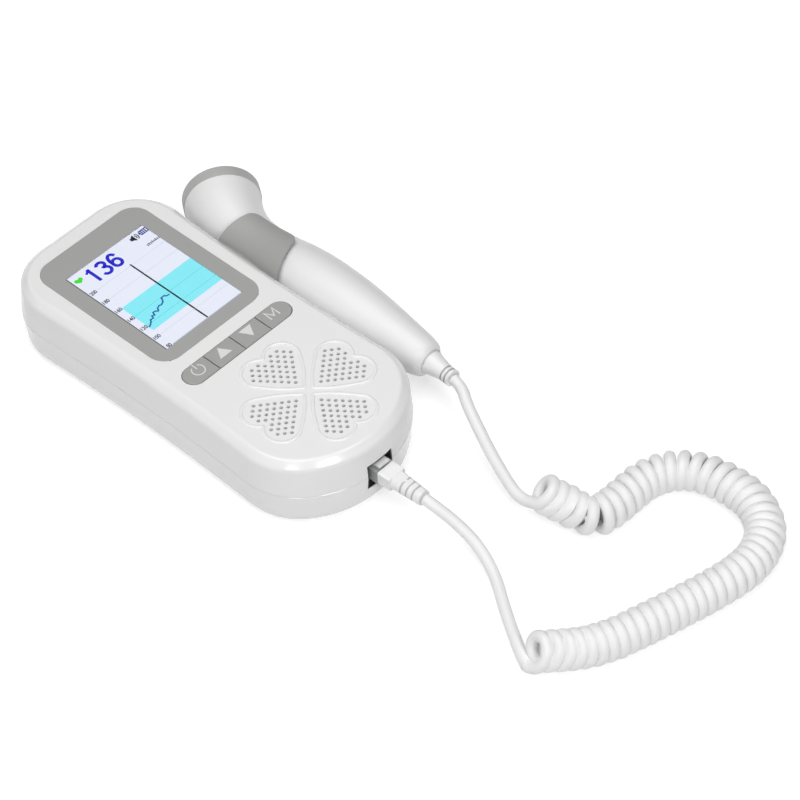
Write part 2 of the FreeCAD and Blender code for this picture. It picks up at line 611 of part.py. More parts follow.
def rear_cavity():
    """The hollow of the rear shell, one wall inside its outer form."""
    floor_offset = BACK_OFFSET - WALL - BACK_ROUND * 0.45
    return casing_solid([
        (floor_offset, WALL), (BACK_OFFSET - WALL, BACK_ROUND), (INNER_SEAM, SEAM_Z),
        (INNER_SEAM, SEAM_Z + WALL),
    ])


def door_block(gap):
    """The space that the battery door's plate and end lip fill, grown by a gap."""
    half = DOOR_HALF_WIDTH + gap
    return box(-half, half, DOOR_LOW_Y - gap, 2 * BODY_TOP_Y, -1, DOOR_LIP_Z + gap)


def rear_shell(outside):
    """Rear half of the casing: battery bay, screw bosses, locating lip and door rails."""
    outer = rear_outside(outside)
    cavity = rear_cavity()
    shell = outer.cut(cavity)
    lip_low = SEAM_Z - WALL
    lip = casing_solid([(INNER_SEAM - SMALL_GAP, lip_low), (INNER_SEAM - SMALL_GAP, SEAM_Z + LIP_HEIGHT)])
    lip = lip.cut(casing_solid([
        (INNER_SEAM - LIP_THICK, lip_low - 1), (INNER_SEAM - LIP_THICK, SEAM_Z + LIP_HEIGHT + 1),
    ]))
    lip_foot = casing_solid([(INNER_SEAM + WALL / 2, lip_low), (INNER_SEAM + WALL / 2, lip_low + 1)])
    lip_foot = lip_foot.cut(casing_solid([
        (INNER_SEAM - LIP_THICK, lip_low - 1), (INNER_SEAM - LIP_THICK, lip_low + 2),
    ]))
    pieces = [shell, lip, lip_foot]
    for side in (-1, 1):
        x0, x1 = sorted((side * BAY_INNER, side * (BAY_INNER + BAY_WALL)))
        y0 = BATTERY_LOW_Y - 2 * BAY_WALL
        pieces.append(box(x0, x1, y0, BATTERY_TOP_Y + 3 * BAY_WALL, WALL / 2, BOARD_Z - SMALL_GAP))
    reach = BAY_INNER + BAY_WALL / 2
    low_wall = BATTERY_LOW_Y - 2 * BAY_WALL
    wall_top = BOARD_Z - SCREW_HEAD_THICK - SLIDE_GAP
    pieces.append(box(-reach, reach, low_wall, low_wall + BAY_WALL, WALL / 2, wall_top))
    top_wall = BATTERY_TOP_Y + 2 * BAY_WALL
    rail_top = WALL + DOOR_RAIL_THICK + 2 * SLIDE_GAP
    pieces.append(box(-reach, reach, top_wall, top_wall + BAY_WALL, rail_top, wall_top))
    for x, y in case_screw_places():
        pieces.append(cylinder(BOSS_RADIUS, SEAM_Z - SEAM_GAP - WALL / 2, V(x, y, WALL / 2)))
    shell = fused(pieces)
    rail = RAIL_HALF + SLIDE_GAP
    cuts = [
        door_block(SLIDE_GAP),
        box(-rail, rail, DOOR_LOW_Y - SLIDE_GAP, 2 * BODY_TOP_Y, WALL, rail_top),
        jack_opening(SMALL_GAP),
    ]
    head_top = SCREW_SINK + SCREW_HEAD_THICK
    for x, y in case_screw_places():
        cuts.append(cylinder(SCREW_HEAD_RADIUS + SMALL_GAP, head_top + 1, V(x, y, -1)))
        cuts.append(cylinder(SCREW_RADIUS + SMALL_GAP, SEAM_Z + 1, V(x, y, 0)))
    for y, z in clip_screw_places():
        cuts.append(cylinder(SCREW_RADIUS + SMALL_GAP, 4 * WALL, V(FLANK_X - 3 * WALL, y, z), ALONG_X))
    return shell.cut(Part.makeCompound(cuts))


def battery_door(outside):
    """Door with a flat plate, an end lip and two rails that run inside the back."""
    plate = rear_outside(outside).cut(rear_cavity()).common(door_block(0))
    floor_top = WALL + SLIDE_GAP
    pieces = [plate]
    for side in (-1, 1):
        x0, x1 = sorted((side * (DOOR_HALF_WIDTH - 2 * DOOR_RAIL), side * RAIL_HALF))
        y1 = BATTERY_TOP_Y
        pieces.append(box(x0, x1, DOOR_LOW_Y, y1, floor_top, floor_top + DOOR_RAIL_THICK))
        x2, x3 = sorted((side * (DOOR_HALF_WIDTH - 2 * DOOR_RAIL), side * DOOR_HALF_WIDTH))
        pieces.append(box(x2, x3, DOOR_LOW_Y, y1, WALL / 2, floor_top))
    door = fused(pieces)
    grips = []
    for place in range(GRIP_COUNT):
        y = DOOR_LOW_Y + DOOR_HALF_WIDTH / 2 + 2.2 * place
        half = DOOR_HALF_WIDTH * 0.55
        grips.append(box(-half, half, y, y + 1.0, -1, WALL * 0.3))
    return door.cut(Part.makeCompound(grips))


def case_screws():
    """Four screws driven from the back into the front shell's bosses."""
    length = SEAM_Z - SCREW_SINK - SCREW_HEAD_THICK + CASE_SCREW_BITE
    return [screw(x, y, SCREW_SINK, length) for x, y in case_screw_places()]


def screen_bezel():
    """Grey surround of the screen, let into the front shell."""
    plate = rounded_plate(BEZEL_WIDTH, BEZEL_LENGTH, BEZEL_RADIUS, BEZEL_CENTRE_Y, BEZEL_Z, BEZEL_THICK)
    plate = plate.cut(screen_block(VIEW_WIDTH, VIEW_LENGTH, 0, 2 * BODY_HEIGHT))
    return plate


def screen_window():
    """Clear window: a foot under the bezel and a raised middle that fills the bezel's opening."""
    foot = screen_block(VIEW_WIDTH + 2 * WINDOW_EDGE, VIEW_LENGTH + 2 * WINDOW_EDGE,
                        WINDOW_Z, BEZEL_Z)
    middle = screen_block(VIEW_WIDTH - 2 * SMALL_GAP, VIEW_LENGTH - 2 * SMALL_GAP,
                          BEZEL_Z, BODY_HEIGHT - SMALL_GAP)
    return fused([foot, middle])


# ---------------------------------------------------------------- electronics
def lcd_panel():
    """The display's glass and backlight as one slab."""
    return screen_block(PANEL_WIDTH, PANEL_LENGTH, PANEL_Z, PANEL_TOP)


def lcd_frame():
    """Moulded frame that stands on the board and carries the panel."""
    low = BOARD_TOP + SMALL_GAP / 2
    high = PANEL_Z
    block = screen_block(PANEL_WIDTH, PANEL_LENGTH, low, high)
    inside = screen_block(PANEL_WIDTH - 4 * FRAME_WALL, PANEL_LENGTH - 4 * FRAME_WALL, 0, 2 * BODY_HEIGHT)
    return block.cut(inside)


def lcd_ribbon():
    """Flat cable from the panel's back down to the board, inside the frame."""
    half = PANEL_WIDTH * 0.3
    y = VIEW_CENTRE_Y - PANEL_LENGTH / 2 + 3 * FRAME_WALL
    return box(-half, half, y, y + RIBBON_THICK, BOARD_TOP, PANEL_Z)


def main_board():
    """Printed circuit board behind the screen, keys and speaker."""
    board = box(-BOARD_HALF_WIDTH, BOARD_HALF_WIDTH, BOARD_LOW_Y, BOARD_TOP_Y, BOARD_Z, BOARD_TOP)
    upright = [edge for edge in board.Edges if abs(edge.BoundBox.ZLength - BOARD_THICK) < 0.01]
    board = board.makeFillet(2 * BOARD_THICK, upright)
    holes = [cylinder(SCREW_RADIUS + SMALL_GAP, 2 * BOARD_THICK, V(x, y, BOARD_Z - BOARD_THICK / 2))
             for x, y in BOARD_POSTS]
    return board.cut(Part.makeCompound(holes))


def board_chips():
    """Processor, memory and amplifier packages on the board."""
    chips = []
    for x, rise, width in CHIPS:
        y = VIEW_CENTRE_Y + rise
        half = width / 2
        chips.append(box(x - half, x + half, y - half, y + half, BOARD_TOP, BOARD_TOP + CHIP_THICK))
    return chips


def board_screws():
    """Four screws that hold the board to the front shell's posts, heads under the board."""
    length = BOARD_THICK + BOARD_SCREW_LENGTH * 0.7
    z = BOARD_Z - SCREW_HEAD_THICK
    return [screw(x, y, z, length) for x, y in BOARD_POSTS]


def key_piece(index):
    """One key: a slice of the stadium with a flange under the front shell."""
    x0 = -KEY_STRIP_HALF + index * KEY_PITCH
    x1 = x0 + KEY_PITCH
    left = x0 + KEY_GROOVE / 2 if index > 0 else x0 - 2 * KEY_FLANGE
    right = x1 - KEY_GROOVE / 2 if index < KEY_COUNT - 1 else x1 + 2 * KEY_FLANGE
    slab = box(left, right, KEY_CENTRE_Y - KEY_HEIGHT, KEY_CENTRE_Y + KEY_HEIGHT, 0, 2 * BODY_HEIGHT)
    top = BODY_HEIGHT + KEY_PROUD
    cap = key_strip(0, KEY_LOW_Z, top - KEY_LOW_Z).common(slab)
    cap = cap.makeFillet(KEY_PROUD, edges_at(cap, top))
    flange = key_strip(KEY_FLANGE, KEY_LOW_Z, KEY_FLANGE_THICK).common(slab)
    return fused([cap, flange])


def key_centre(index):
    """Middle of a key along x."""
    return -KEY_STRIP_HALF + (index + 0.5) * KEY_PITCH


def key_mat():
    """Silicone mat between the keys and their switches."""
    return key_strip(2 * KEY_FLANGE, KEY_MAT_Z, KEY_MAT_THICK)


def key_switches():
    """Four tall tact switches on the board, one under each key."""
    switches = []
    half = SWITCH_SIZE / 2
    stem_top = KEY_MAT_Z - SMALL_GAP
    body_top = stem_top - STEM_LENGTH
    for index in range(KEY_COUNT):
        x = key_centre(index)
        body = box(x - half, x + half, KEY_CENTRE_Y - half, KEY_CENTRE_Y + half, BOARD_TOP, body_top)
        stem = cylinder(STEM_RADIUS, STEM_LENGTH, V(x, KEY_CENTRE_Y, body_top))
        switches.append(fused([body, stem]))
    return switches


def speaker_levels():
    """Low faces of the cloth, the gasket and the magnet between the front shell and the board."""
    cloth = CEILING_Z - CLOTH_THICK
    return cloth, cloth - GASKET_THICK, BOARD_TOP + MAGNET_ROOM


def dust_cloth():
    """Round acoustic cloth glued behind the grille."""
    cloth, _, _ = speaker_levels()
    return cylinder(CLOTH_RADIUS, CLOTH_THICK, V(0, CLOVER_Y, cloth))


def speaker_gasket():
    """Foam ring between the cloth and the speaker."""
    _, gasket, _ = speaker_levels()
    ring = cylinder(SPEAKER_RADIUS, GASKET_THICK, V(0, CLOVER_Y, gasket))
    return ring.cut(cylinder(SPEAKER_RADIUS - GASKET_WIDTH, 3, V(0, CLOVER_Y, gasket - 1)))


def speaker_basket():
    """Pressed basket: a rim, a funnel and a flat back with the magnet behind it."""
    _, top, _ = speaker_levels()
    back = top - BASKET_DEPTH
    outline = [
        (0, back), (MAGNET_RADIUS + 1, back), (SPEAKER_RADIUS - 1, top - SPEAKER_RIM),
        (SPEAKER_RADIUS, top - SPEAKER_RIM), (SPEAKER_RADIUS, top), (SPEAKER_RADIUS - GASKET_WIDTH, top),
        (SPEAKER_RADIUS - GASKET_WIDTH, top - SPEAKER_RIM / 2), (MAGNET_RADIUS, back + BASKET_STEEL),
        (0, back + BASKET_STEEL),
    ]
    return turned(outline)


def turned(outline):
    """A profile of (radius, z) points spun about the speaker's axis."""
    points = [V(r, CLOVER_Y, z) for r, z in outline]
    wire = Part.makePolygon(points + [points[0]])
    return Part.Face(wire).revolve(V(0, CLOVER_Y, 0), UP, 360)


def speaker_cone():
    """Paper cone with a dome over the coil, seated in the basket."""
    _, top, _ = speaker_levels()
    low = top - BASKET_DEPTH + BASKET_STEEL + SMALL_GAP
    rim = SPEAKER_RADIUS - GASKET_WIDTH - SMALL_GAP
    under = top - SPEAKER_RIM / 2 + SMALL_GAP / 2
    over = under + CONE_THICK
    outline = [
        (0, low), (CONE_NECK_RADIUS, low), (rim - 1.0, under), (rim, under), (rim, over),
        (rim - 1.2, over), (CONE_NECK_RADIUS, low + CONE_THICK), (CONE_CAP_RADIUS, low + 3 * CONE_THICK),
        (0, low + 4 * CONE_THICK),
    ]
    return turned(outline)


def speaker_magnet():
    """Ferrite magnet and yoke behind the basket."""
    _, top, low = speaker_levels()
    return cylinder(MAGNET_RADIUS, top - BASKET_DEPTH - low, V(0, CLOVER_Y, low))


def battery(side):
    """One AA cell with its raised positive end."""
    x = side * (BATTERY_RADIUS + SLIDE_GAP)
    can_y = BATTERY_LOW_Y if side < 0 else BATTERY_LOW_Y + BATTERY_CAP_LENGTH
    can = cylinder(BATTERY_RADIUS, BATTERY_LENGTH, V(x, can_y, BATTERY_Z), ALONG_Y)
    cap_y = can_y + BATTERY_LENGTH if side < 0 else can_y - BATTERY_CAP_LENGTH
    cap = cylinder(BATTERY_CAP_RADIUS, BATTERY_CAP_LENGTH, V(x, cap_y, BATTERY_Z), ALONG_Y)
    return fused([can, cap])


def battery_springs():
    """Two conical contact springs, each a solid cone of the spring's outer form."""
    x = BATTERY_RADIUS + SLIDE_GAP
    low_plate = BATTERY_LOW_Y - BAY_WALL + PLATE_THICK
    top_plate = BATTERY_TOP_Y + 2 * BAY_WALL - PLATE_THICK
    low_length = BATTERY_LOW_Y - low_plate
    top_length = top_plate - BATTERY_TOP_Y
    return [
        Part.makeCone(SPRING_FOOT_RADIUS, SPRING_TIP_RADIUS, low_length, V(-x, low_plate, BATTERY_Z), ALONG_Y),
        Part.makeCone(SPRING_FOOT_RADIUS, SPRING_TIP_RADIUS, top_length, V(x, top_plate, BATTERY_Z), V(0, -1, 0)),
    ]


def battery_plates():
    """Contact plates on the bay's two end walls."""
    half = BATTERY_RADIUS * 0.7
    x = BATTERY_RADIUS + SLIDE_GAP
    low_y = BATTERY_LOW_Y - BAY_WALL
    top_y = BATTERY_TOP_Y + 2 * BAY_WALL
    plates = [
        box(-x - half, -x + half, low_y, low_y + PLATE_THICK, BATTERY_Z - half, BATTERY_Z + half),
        box(x - half, x + half, low_y, low_y + PLATE_THICK, BATTERY_Z - half, BATTERY_Z + half),
        box(-x - half, x + half, top_y - PLATE_THICK, top_y, BATTERY_Z - half, BATTERY_Z + half),
    ]
    return plates


def phone_barrel(grow):
    """The round nose of the headphone jack through the upper end wall."""
    start = BODY_TOP_Y - WALL * 3
    return cylinder(PHONE_BARREL_RADIUS + grow, WALL * 6, V(PHONE_X, start, PHONE_Z), ALONG_Y)


def headphone_jack():
    """3.5 mm socket on the board, its barrel flush with the upper end wall."""
    face_y = BODY_TOP_Y
    back_y = face_y - WALL - PHONE_BODY_LENGTH
    half = PHONE_BODY_WIDTH / 2
    body = box(PHONE_X - half, PHONE_X + half, back_y, face_y - WALL * 1.5, BOARD_TOP,
               BOARD_TOP + PHONE_BODY_HEIGHT)
    nose = cylinder(PHONE_BARREL_RADIUS, face_y - back_y, V(PHONE_X, back_y, PHONE_Z), ALONG_Y)
    bore = cylinder(PHONE_BORE_RADIUS, PHONE_BORE_LENGTH + 1, V(PHONE_X, face_y - PHONE_BORE_LENGTH, PHONE_Z),
                    ALONG_Y)
    return fused([body, nose]).cut(bore)


# ---------------------------------------------------------------- jack and plug
def latch_profile(grow):
    """Side view of the plug's latch: (y, z) points from its root inside the jack to its free end."""
    root_y = PLUG_NOSE_Y - LATCH_ROOT
    end_y = BOOT_Y + 0.4
    root_z = PLUG_LOW_Z + PLUG_HEIGHT + SMALL_GAP
    end_z = root_z + LATCH_RISE
    return [
        (root_y + grow, root_z - grow), (end_y - grow, end_z - grow),
        (end_y - grow, end_z + LATCH_THICK + grow), (root_y + grow, root_z + LATCH_THICK + grow),
    ]


def plug_latch():
    """The clear latch tab above the plug."""
    points = [V(-LATCH_WIDTH / 2, y, z) for y, z in latch_profile(0)]
    tab = Part.Face(Part.makePolygon(points + [points[0]])).extrude(V(LATCH_WIDTH, 0, 0))
    root_y = PLUG_NOSE_Y - LATCH_ROOT
    pivot = V(-LATCH_WIDTH / 2, root_y, PLUG_LOW_Z + PLUG_HEIGHT + SMALL_GAP + LATCH_THICK / 2)
    knuckle = cylinder(LATCH_THICK / 2, LATCH_WIDTH, pivot, ALONG_X)
    rib_z = PLUG_LOW_Z + PLUG_HEIGHT + SMALL_GAP + LATCH_THICK
    rib_length = LATCH_WIDTH
    rib = box(-LATCH_WIDTH / 3, LATCH_WIDTH / 3, root_y - rib_length, root_y - 1.0, rib_z - 0.4, rib_z + 0.45)
    return fused([tab, knuckle, rib])


def plug_body():
    """Clear four-way modular plug with open slots for its contacts."""
    half = PLUG_WIDTH / 2
    body = box(-half, half, BOOT_Y, PLUG_NOSE_Y, PLUG_LOW_Z, PLUG_LOW_Z + PLUG_HEIGHT)
    slots = [contact_blade(x, 0.05) for x in contact_places()]
    root_y = PLUG_NOSE_Y - LATCH_ROOT
    top = PLUG_LOW_Z + PLUG_HEIGHT
    foot_y = root_y + LATCH_THICK / 2 + SMALL_GAP
    foot = box(-LATCH_WIDTH / 2, LATCH_WIDTH / 2, foot_y, PLUG_NOSE_Y, top - 1, top + LATCH_THICK)
    return fused([body, foot]).cut(Part.makeCompound(slots))


def contact_places():
    """Middle of each contact across the plug."""
    return [(index - (CONTACT_COUNT - 1) / 2) * CONTACT_PITCH for index in range(CONTACT_COUNT)]


def contact_blade(x, grow):
    """One gold blade in the plug's nose."""
    half = 0.2 + grow
    return box(x - half, x + half, PLUG_NOSE_Y - 4.0 - grow, PLUG_NOSE_Y + grow,
               PLUG_LOW_Z - grow, PLUG_LOW_Z + 2.2 + grow)


def plug_contacts():
    """Four gold blades."""
    return [contact_blade(x, 0) for x in contact_places()]


def probe_jack():
    """Black jack in the lower end, hollow for the plug and its latch."""
    gap = SMALL_GAP
    body = jack_opening(0).common(box(-JACK_WIDTH, JACK_WIDTH, JACK_FACE_Y, JACK_FACE_Y + JACK_DEPTH - gap,
                                      0, BODY_HEIGHT))
    half = PLUG_WIDTH / 2 + PLUG_GAP
    space = box(-half, half, JACK_FACE_Y - 1, PLUG_NOSE_Y + 1, PLUG_LOW_Z - PLUG_GAP,
                PLUG_LOW_Z + PLUG_HEIGHT + PLUG_GAP)
    slot_half = LATCH_WIDTH / 2 + LATCH_SLOT_GAP
    slot_top = PLUG_LOW_Z + PLUG_HEIGHT + SMALL_GAP + LATCH_RISE + LATCH_THICK + LATCH_SLOT_GAP
    slot = box(-slot_half, slot_half, JACK_FACE_Y - 1, PLUG_NOSE_Y + 1, PLUG_LOW_Z, slot_top)
    mouth = PLUG_WIDTH / 2 + 1.1
    step = box(-mouth, mouth, JACK_FACE_Y - 1, JACK_FACE_Y + 1.6, PLUG_LOW_Z - 1.6, slot_top - 0.3)
    wires = [jack_wire(x, 0.05) for x in contact_places()]
    return body.cut(Part.makeCompound([fused([space, slot, step])] + wires))


def jack_wire(x, grow):
    """One contact wire at the back of the jack, clear of the plug's nose."""
    half = 0.25 + grow
    y0 = PLUG_NOSE_Y + 0.3 - grow
    y1 = JACK_FACE_Y + JACK_DEPTH - SMALL_GAP + 1
    return box(x - half, x + half, y0, y1, PLUG_LOW_Z + 0.4 - grow, PLUG_LOW_Z + 0.9 + grow)


def jack_contacts():
    """Four gilt wires in the jack, cut off where its back ends."""
    return [jack_wire(x, 0) for x in contact_places()]


def plug_boot():
    """White moulded boot: a square block, then a round strain relief with three grooves."""
    half = PLUG_WIDTH / 2 + 0.05
    z0 = BOOT_MID_Z - BOOT_HEIGHT / 2
    block = box(-half, half, BOOT_Y - BOOT_BLOCK, BOOT_Y, z0, z0 + BOOT_HEIGHT)
    block = block.makeFillet(BOOT_ROUND, [edge for edge in block.Edges if edge.BoundBox.YLength > 1])
    start = BOOT_Y - BOOT_BLOCK + 1
    relief = Part.makeCone(RELIEF_START_RADIUS, RELIEF_END_RADIUS, BOOT_RELIEF + 1, V(0, start, BOOT_MID_Z),
                           V(0, -1, 0))
    waist = Part.makeCylinder(BOOT_HEIGHT / 2 - 0.02, BOOT_BLOCK, V(0, BOOT_Y, BOOT_MID_Z), V(0, -1, 0))
    keep = box(-half, half, BOOT_END_Y - 1, BOOT_Y - BOOT_BLOCK, z0 + 0.05, z0 + BOOT_HEIGHT - 0.05)
    relief = fused([relief.common(keep), waist, block])
    grooves = []
    for number in range(3):
        y = BOOT_END_Y + 2.6 + 2.5 * number
        share = (start - y) / (BOOT_RELIEF + 1)
        radius = RELIEF_START_RADIUS + (RELIEF_END_RADIUS - RELIEF_START_RADIUS) * share
        ring = cylinder(radius + 1, GROOVE_WIDTH, V(0, y, BOOT_MID_Z), ALONG_Y)
        grooves.append(ring.cut(cylinder(radius - GROOVE_DEPTH, GROOVE_WIDTH, V(0, y, BOOT_MID_Z), ALONG_Y)))
    return relief.cut(Part.makeCompound(grooves))


# ---------------------------------------------------------------- probe
def bend_point(share):
    """A point of the probe's centre line in its bend, and the way it points there."""
    start = V(PROBE_X, HEAD_BEND_START, PROBE_Z)
    end = CAP_BACK
    point = start * (1 - share) ** 2 + BEND_CORNER * 2 * share * (1 - share) + end * share ** 2
    way = (BEND_CORNER - start) * (1 - share) + (end - BEND_CORNER) * share
    way.normalize()
    return point, way


def probe_sections(grow):
    """Circles along the probe, each radius changed by an amount: tail, handle, neck and head."""
    circles = []
    for rise, radius in HANDLE_PROFILE:
        centre = V(PROBE_X, PROBE_TAIL_Y + rise, PROBE_Z)
        circles.append((centre, ALONG_Y, radius + grow))
    flare = HEAD_RADIUS - NECK_RADIUS
    for share, part in HEAD_FLARE:
        centre, way = bend_point(share)
        radius = NECK_RADIUS + flare * part
        circles.append((centre, way, radius + grow))
    circles.append((CAP_BACK, HEAD_DIRECTION, HEAD_RADIUS + grow))
    return circles


def circle_wire(centre, way, radius):
    """A round wire whose seam faces up."""
    circle = Part.Circle(centre, way, radius)
    return Part.Wire([circle.toShape()])


def probe_loft(grow):
    """The probe's form from its first station to the cap, offset by an amount."""
    wires = [circle_wire(centre, way, radius) for centre, way, radius in probe_sections(grow)]
    return Part.makeLoft(wires, True, False)


def probe_skin():
    """The hollow moulding of the probe before it is split."""
    first_rise, first_radius = HANDLE_PROFILE[0]
    tail = Part.makeCone(RELIEF_BASE_RADIUS + 0.6, first_radius, first_rise,
                         V(PROBE_X, PROBE_TAIL_Y, PROBE_Z), ALONG_Y)
    outer = probe_loft(0).fuse(tail).removeSplitter()
    inner = probe_loft(-PROBE_WALL)
    cap_end = Part.makeCylinder(HEAD_RADIUS - PROBE_WALL, 2, CAP_BACK - HEAD_DIRECTION, HEAD_DIRECTION)
    relief_hole = cylinder(RELIEF_BASE_RADIUS - 0.6, 6, V(PROBE_X, PROBE_TAIL_Y - 1, PROBE_Z), ALONG_Y)
    return outer.cut(inner.fuse(cap_end)).cut(relief_hole)


def probe_half(skin, side):
    """Upper or lower shell of the probe, split level with its axis."""
    reach = 4 * BODY_WIDTH
    gap = SMALL_GAP / 2
    low = PROBE_Z + gap if side > 0 else PROBE_Z - reach
    half = box(-reach, reach, -reach, reach, low, low + reach - (0 if side > 0 else gap))
    shell = skin.common(half)
    bosses = []
    for y in probe_screw_places():
        depth = NECK_RADIUS - PROBE_WALL / 2
        base = V(PROBE_X, y, PROBE_Z + gap) if side > 0 else V(PROBE_X, y, PROBE_Z - depth)
        bosses.append(cylinder(BOSS_RADIUS, depth - gap, base))
    if side < 0:
        bosses.extend(probe_board_ribs())
    shell = fused([shell] + bosses)
    cuts = []
    hole = SCREW_RADIUS + SMALL_GAP if side < 0 else SCREW_RADIUS
    well = PROBE_SCREW_SEAT + NECK_RADIUS
    for y in probe_screw_places():
        cuts.append(cylinder(SCREW_HEAD_RADIUS + SMALL_GAP, well, V(PROBE_X, y, -NECK_RADIUS)))
        cuts.append(cylinder(hole, PROBE_Z, V(PROBE_X, y, PROBE_SCREW_SEAT)))
    return shell.cut(Part.makeCompound(cuts))


def probe_screw_places():
    """The two probe screws along y, in from the tail and in the neck."""
    return [PROBE_SCREW_LOW_Y, PROBE_SCREW_TOP_Y]


def probe_board_ribs():
    """Two ribs across the lower shell that carry the probe's board."""
    half = NECK_RADIUS - PROBE_WALL - 1.2
    room = probe_loft(-PROBE_WALL / 2)
    top = PROBE_Z - PROBE_BOARD_THICK / 2 - SMALL_GAP / 2
    ribs = []
    for y in (PROBE_BOARD_LOW_Y + PROBE_RIB_INSET, PROBE_BOARD_TOP_Y - PROBE_RIB_INSET):
        rib = box(PROBE_X - half, PROBE_X + half, y, y + PROBE_RIB_THICK, -1, top)
        ribs.append(rib.common(room))
    return ribs


def probe_screws():
    """Two screws driven up from under the handle."""
    low = PROBE_SCREW_SEAT - SCREW_HEAD_THICK
    return [screw(PROBE_X, y, low, PROBE_SCREW_LENGTH) for y in probe_screw_places()]


def probe_cap():
    """Grey ring that carries the probe's face."""
    ring = Part.makeCylinder(HEAD_RADIUS, CAP_LENGTH, CAP_BACK, HEAD_DIRECTION)
    front = [edge for edge in ring.Edges
             if edge.Closed and (edge.CenterOfMass - CAP_FRONT).Length < 0.1]
    ring = ring.makeFillet(CAP_ROUND, front)
    face_space = Part.makeCylinder(FACE_RADIUS + SMALL_GAP / 2, FACE_THICK + 1,
                                   CAP_FRONT - HEAD_DIRECTION * FACE_THICK, HEAD_DIRECTION)
    bore = Part.makeCylinder(BACKING_RADIUS + SMALL_GAP / 2, CAP_LENGTH + 2, CAP_BACK - HEAD_DIRECTION,
                             HEAD_DIRECTION)
    return ring.cut(face_space.fuse(bore))


def probe_face():
    """Acoustic window over the crystals, flush with the cap."""
    return Part.makeCylinder(FACE_RADIUS, FACE_THICK, CAP_FRONT - HEAD_DIRECTION * FACE_THICK, HEAD_DIRECTION)


def crystals():
    """Round piezo crystals bonded behind the face."""
    base = CAP_FRONT - HEAD_DIRECTION * (FACE_THICK + CRYSTAL_THICK)
    side = UP.cross(HEAD_DIRECTION)
    discs = []
    for number in range(CRYSTAL_COUNT):
        turn = math.radians(360 / CRYSTAL_COUNT * (number + 0.5))
        centre = base + side * (CRYSTAL_RING * math.cos(turn)) + UP * (CRYSTAL_RING * math.sin(turn))
        radius = min(CRYSTAL_RADIUS, CRYSTAL_RING * math.sin(math.pi / CRYSTAL_COUNT) - SMALL_GAP)
        discs.append(Part.makeCylinder(radius, CRYSTAL_THICK, centre, HEAD_DIRECTION))
    return discs


def crystal_backing():
    """Absorber block behind the crystals."""
    start = CAP_FRONT - HEAD_DIRECTION * (FACE_THICK + CRYSTAL_THICK + BACKING_THICK)
    return Part.makeCylinder(BACKING_RADIUS, BACKING_THICK, start, HEAD_DIRECTION)


def probe_board():
    """Narrow amplifier board between the probe's two halves."""
    half = NECK_RADIUS - PROBE_WALL - 1.2
    low = PROBE_Z - PROBE_BOARD_THICK / 2
    return box(PROBE_X - half, PROBE_X + half, PROBE_BOARD_LOW_Y, PROBE_BOARD_TOP_Y,
               low, low + PROBE_BOARD_THICK)


def probe_strain_relief():
    """White moulded strain relief at the tail: a foot inside, a cone and two ringed grooves."""
    down = V(0, -1, 0)
    tail = V(PROBE_X, PROBE_TAIL_Y, PROBE_Z)
    collar = 0.6
    foot_radius = RELIEF_BASE_RADIUS - 0.6 - SMALL_GAP / 2
    foot = Part.makeCylinder(foot_radius, 4, tail - down * 3.5, down)
    ring = Part.makeCylinder(RELIEF_BASE_RADIUS + 0.3, collar, tail, down)
    cone_start = tail + down * (collar - 0.2)
    cone = Part.makeCone(RELIEF_BASE_RADIUS, RELIEF_TIP_RADIUS, RELIEF_CONE, cone_start, down)
    tip_start = cone_start + down * RELIEF_CONE
    tip_length = RELIEF_LENGTH - RELIEF_CONE - collar + 0.2
    outer = fused([cone, Part.makeCylinder(RELIEF_TIP_RADIUS, tip_length, tip_start, down)])
    grooves = []
    for number in range(2):
        start = tip_start + down * (0.7 + 1.7 * number)
        band = Part.makeCylinder(RELIEF_TIP_RADIUS + 1, GROOVE_WIDTH, start, down)
        core = Part.makeCylinder(RELIEF_TIP_RADIUS - GROOVE_DEPTH, GROOVE_WIDTH, start, down)
        grooves.append(band.cut(core))
    outer = outer.cut(Part.makeCompound(grooves))
    outer.rotate(tail, UP, -RELIEF_LEAN)
    return fused([foot, ring, outer])


# ---------------------------------------------------------------- clip
def clip_screw_places():
    """Two screws through the rear shell into the clip's foot, as (y, z)."""
    middle = (CLIP_ROOT_LOW_Y + CLIP_ROOT_TOP_Y) / 2
    spread = (CLIP_ROOT_TOP_Y - CLIP_ROOT_LOW_Y) / 4
    return [(middle - spread, SEAM_Z - CLIP_SCREW_DROP), (middle + spread, SEAM_Z - CLIP_SCREW_DROP)]


def clip_core(extra):
    """The channel that the probe leaves by, widened so that it can slide straight out."""
    slack = 1 / math.sin(math.radians(CLIP_FREE_ANGLE))
    stations = [(PROBE_TAIL_Y + rise, radius) for rise, radius in HANDLE_PROFILE[7:]]
    for share, growth in CLIP_NECK:
        stations.append((HEAD_BEND_START + HEAD_BEND_CORNER * share, NECK_RADIUS + growth))
    wires = []
    for y, radius in stations:
        bore = radius * slack + CLIP_AIR + extra
        wires.append(circle_wire(V(PROBE_X, y, PROBE_Z), ALONG_Y, bore))
    return Part.makeLoft(wires, True, False)


def clip_arm():
    """The curved arm: a shell round the neck, open outwards, narrowing to rounded free corners."""
    return clip_core(CLIP_THICK).cut(clip_core(0)).common(clip_tongue())


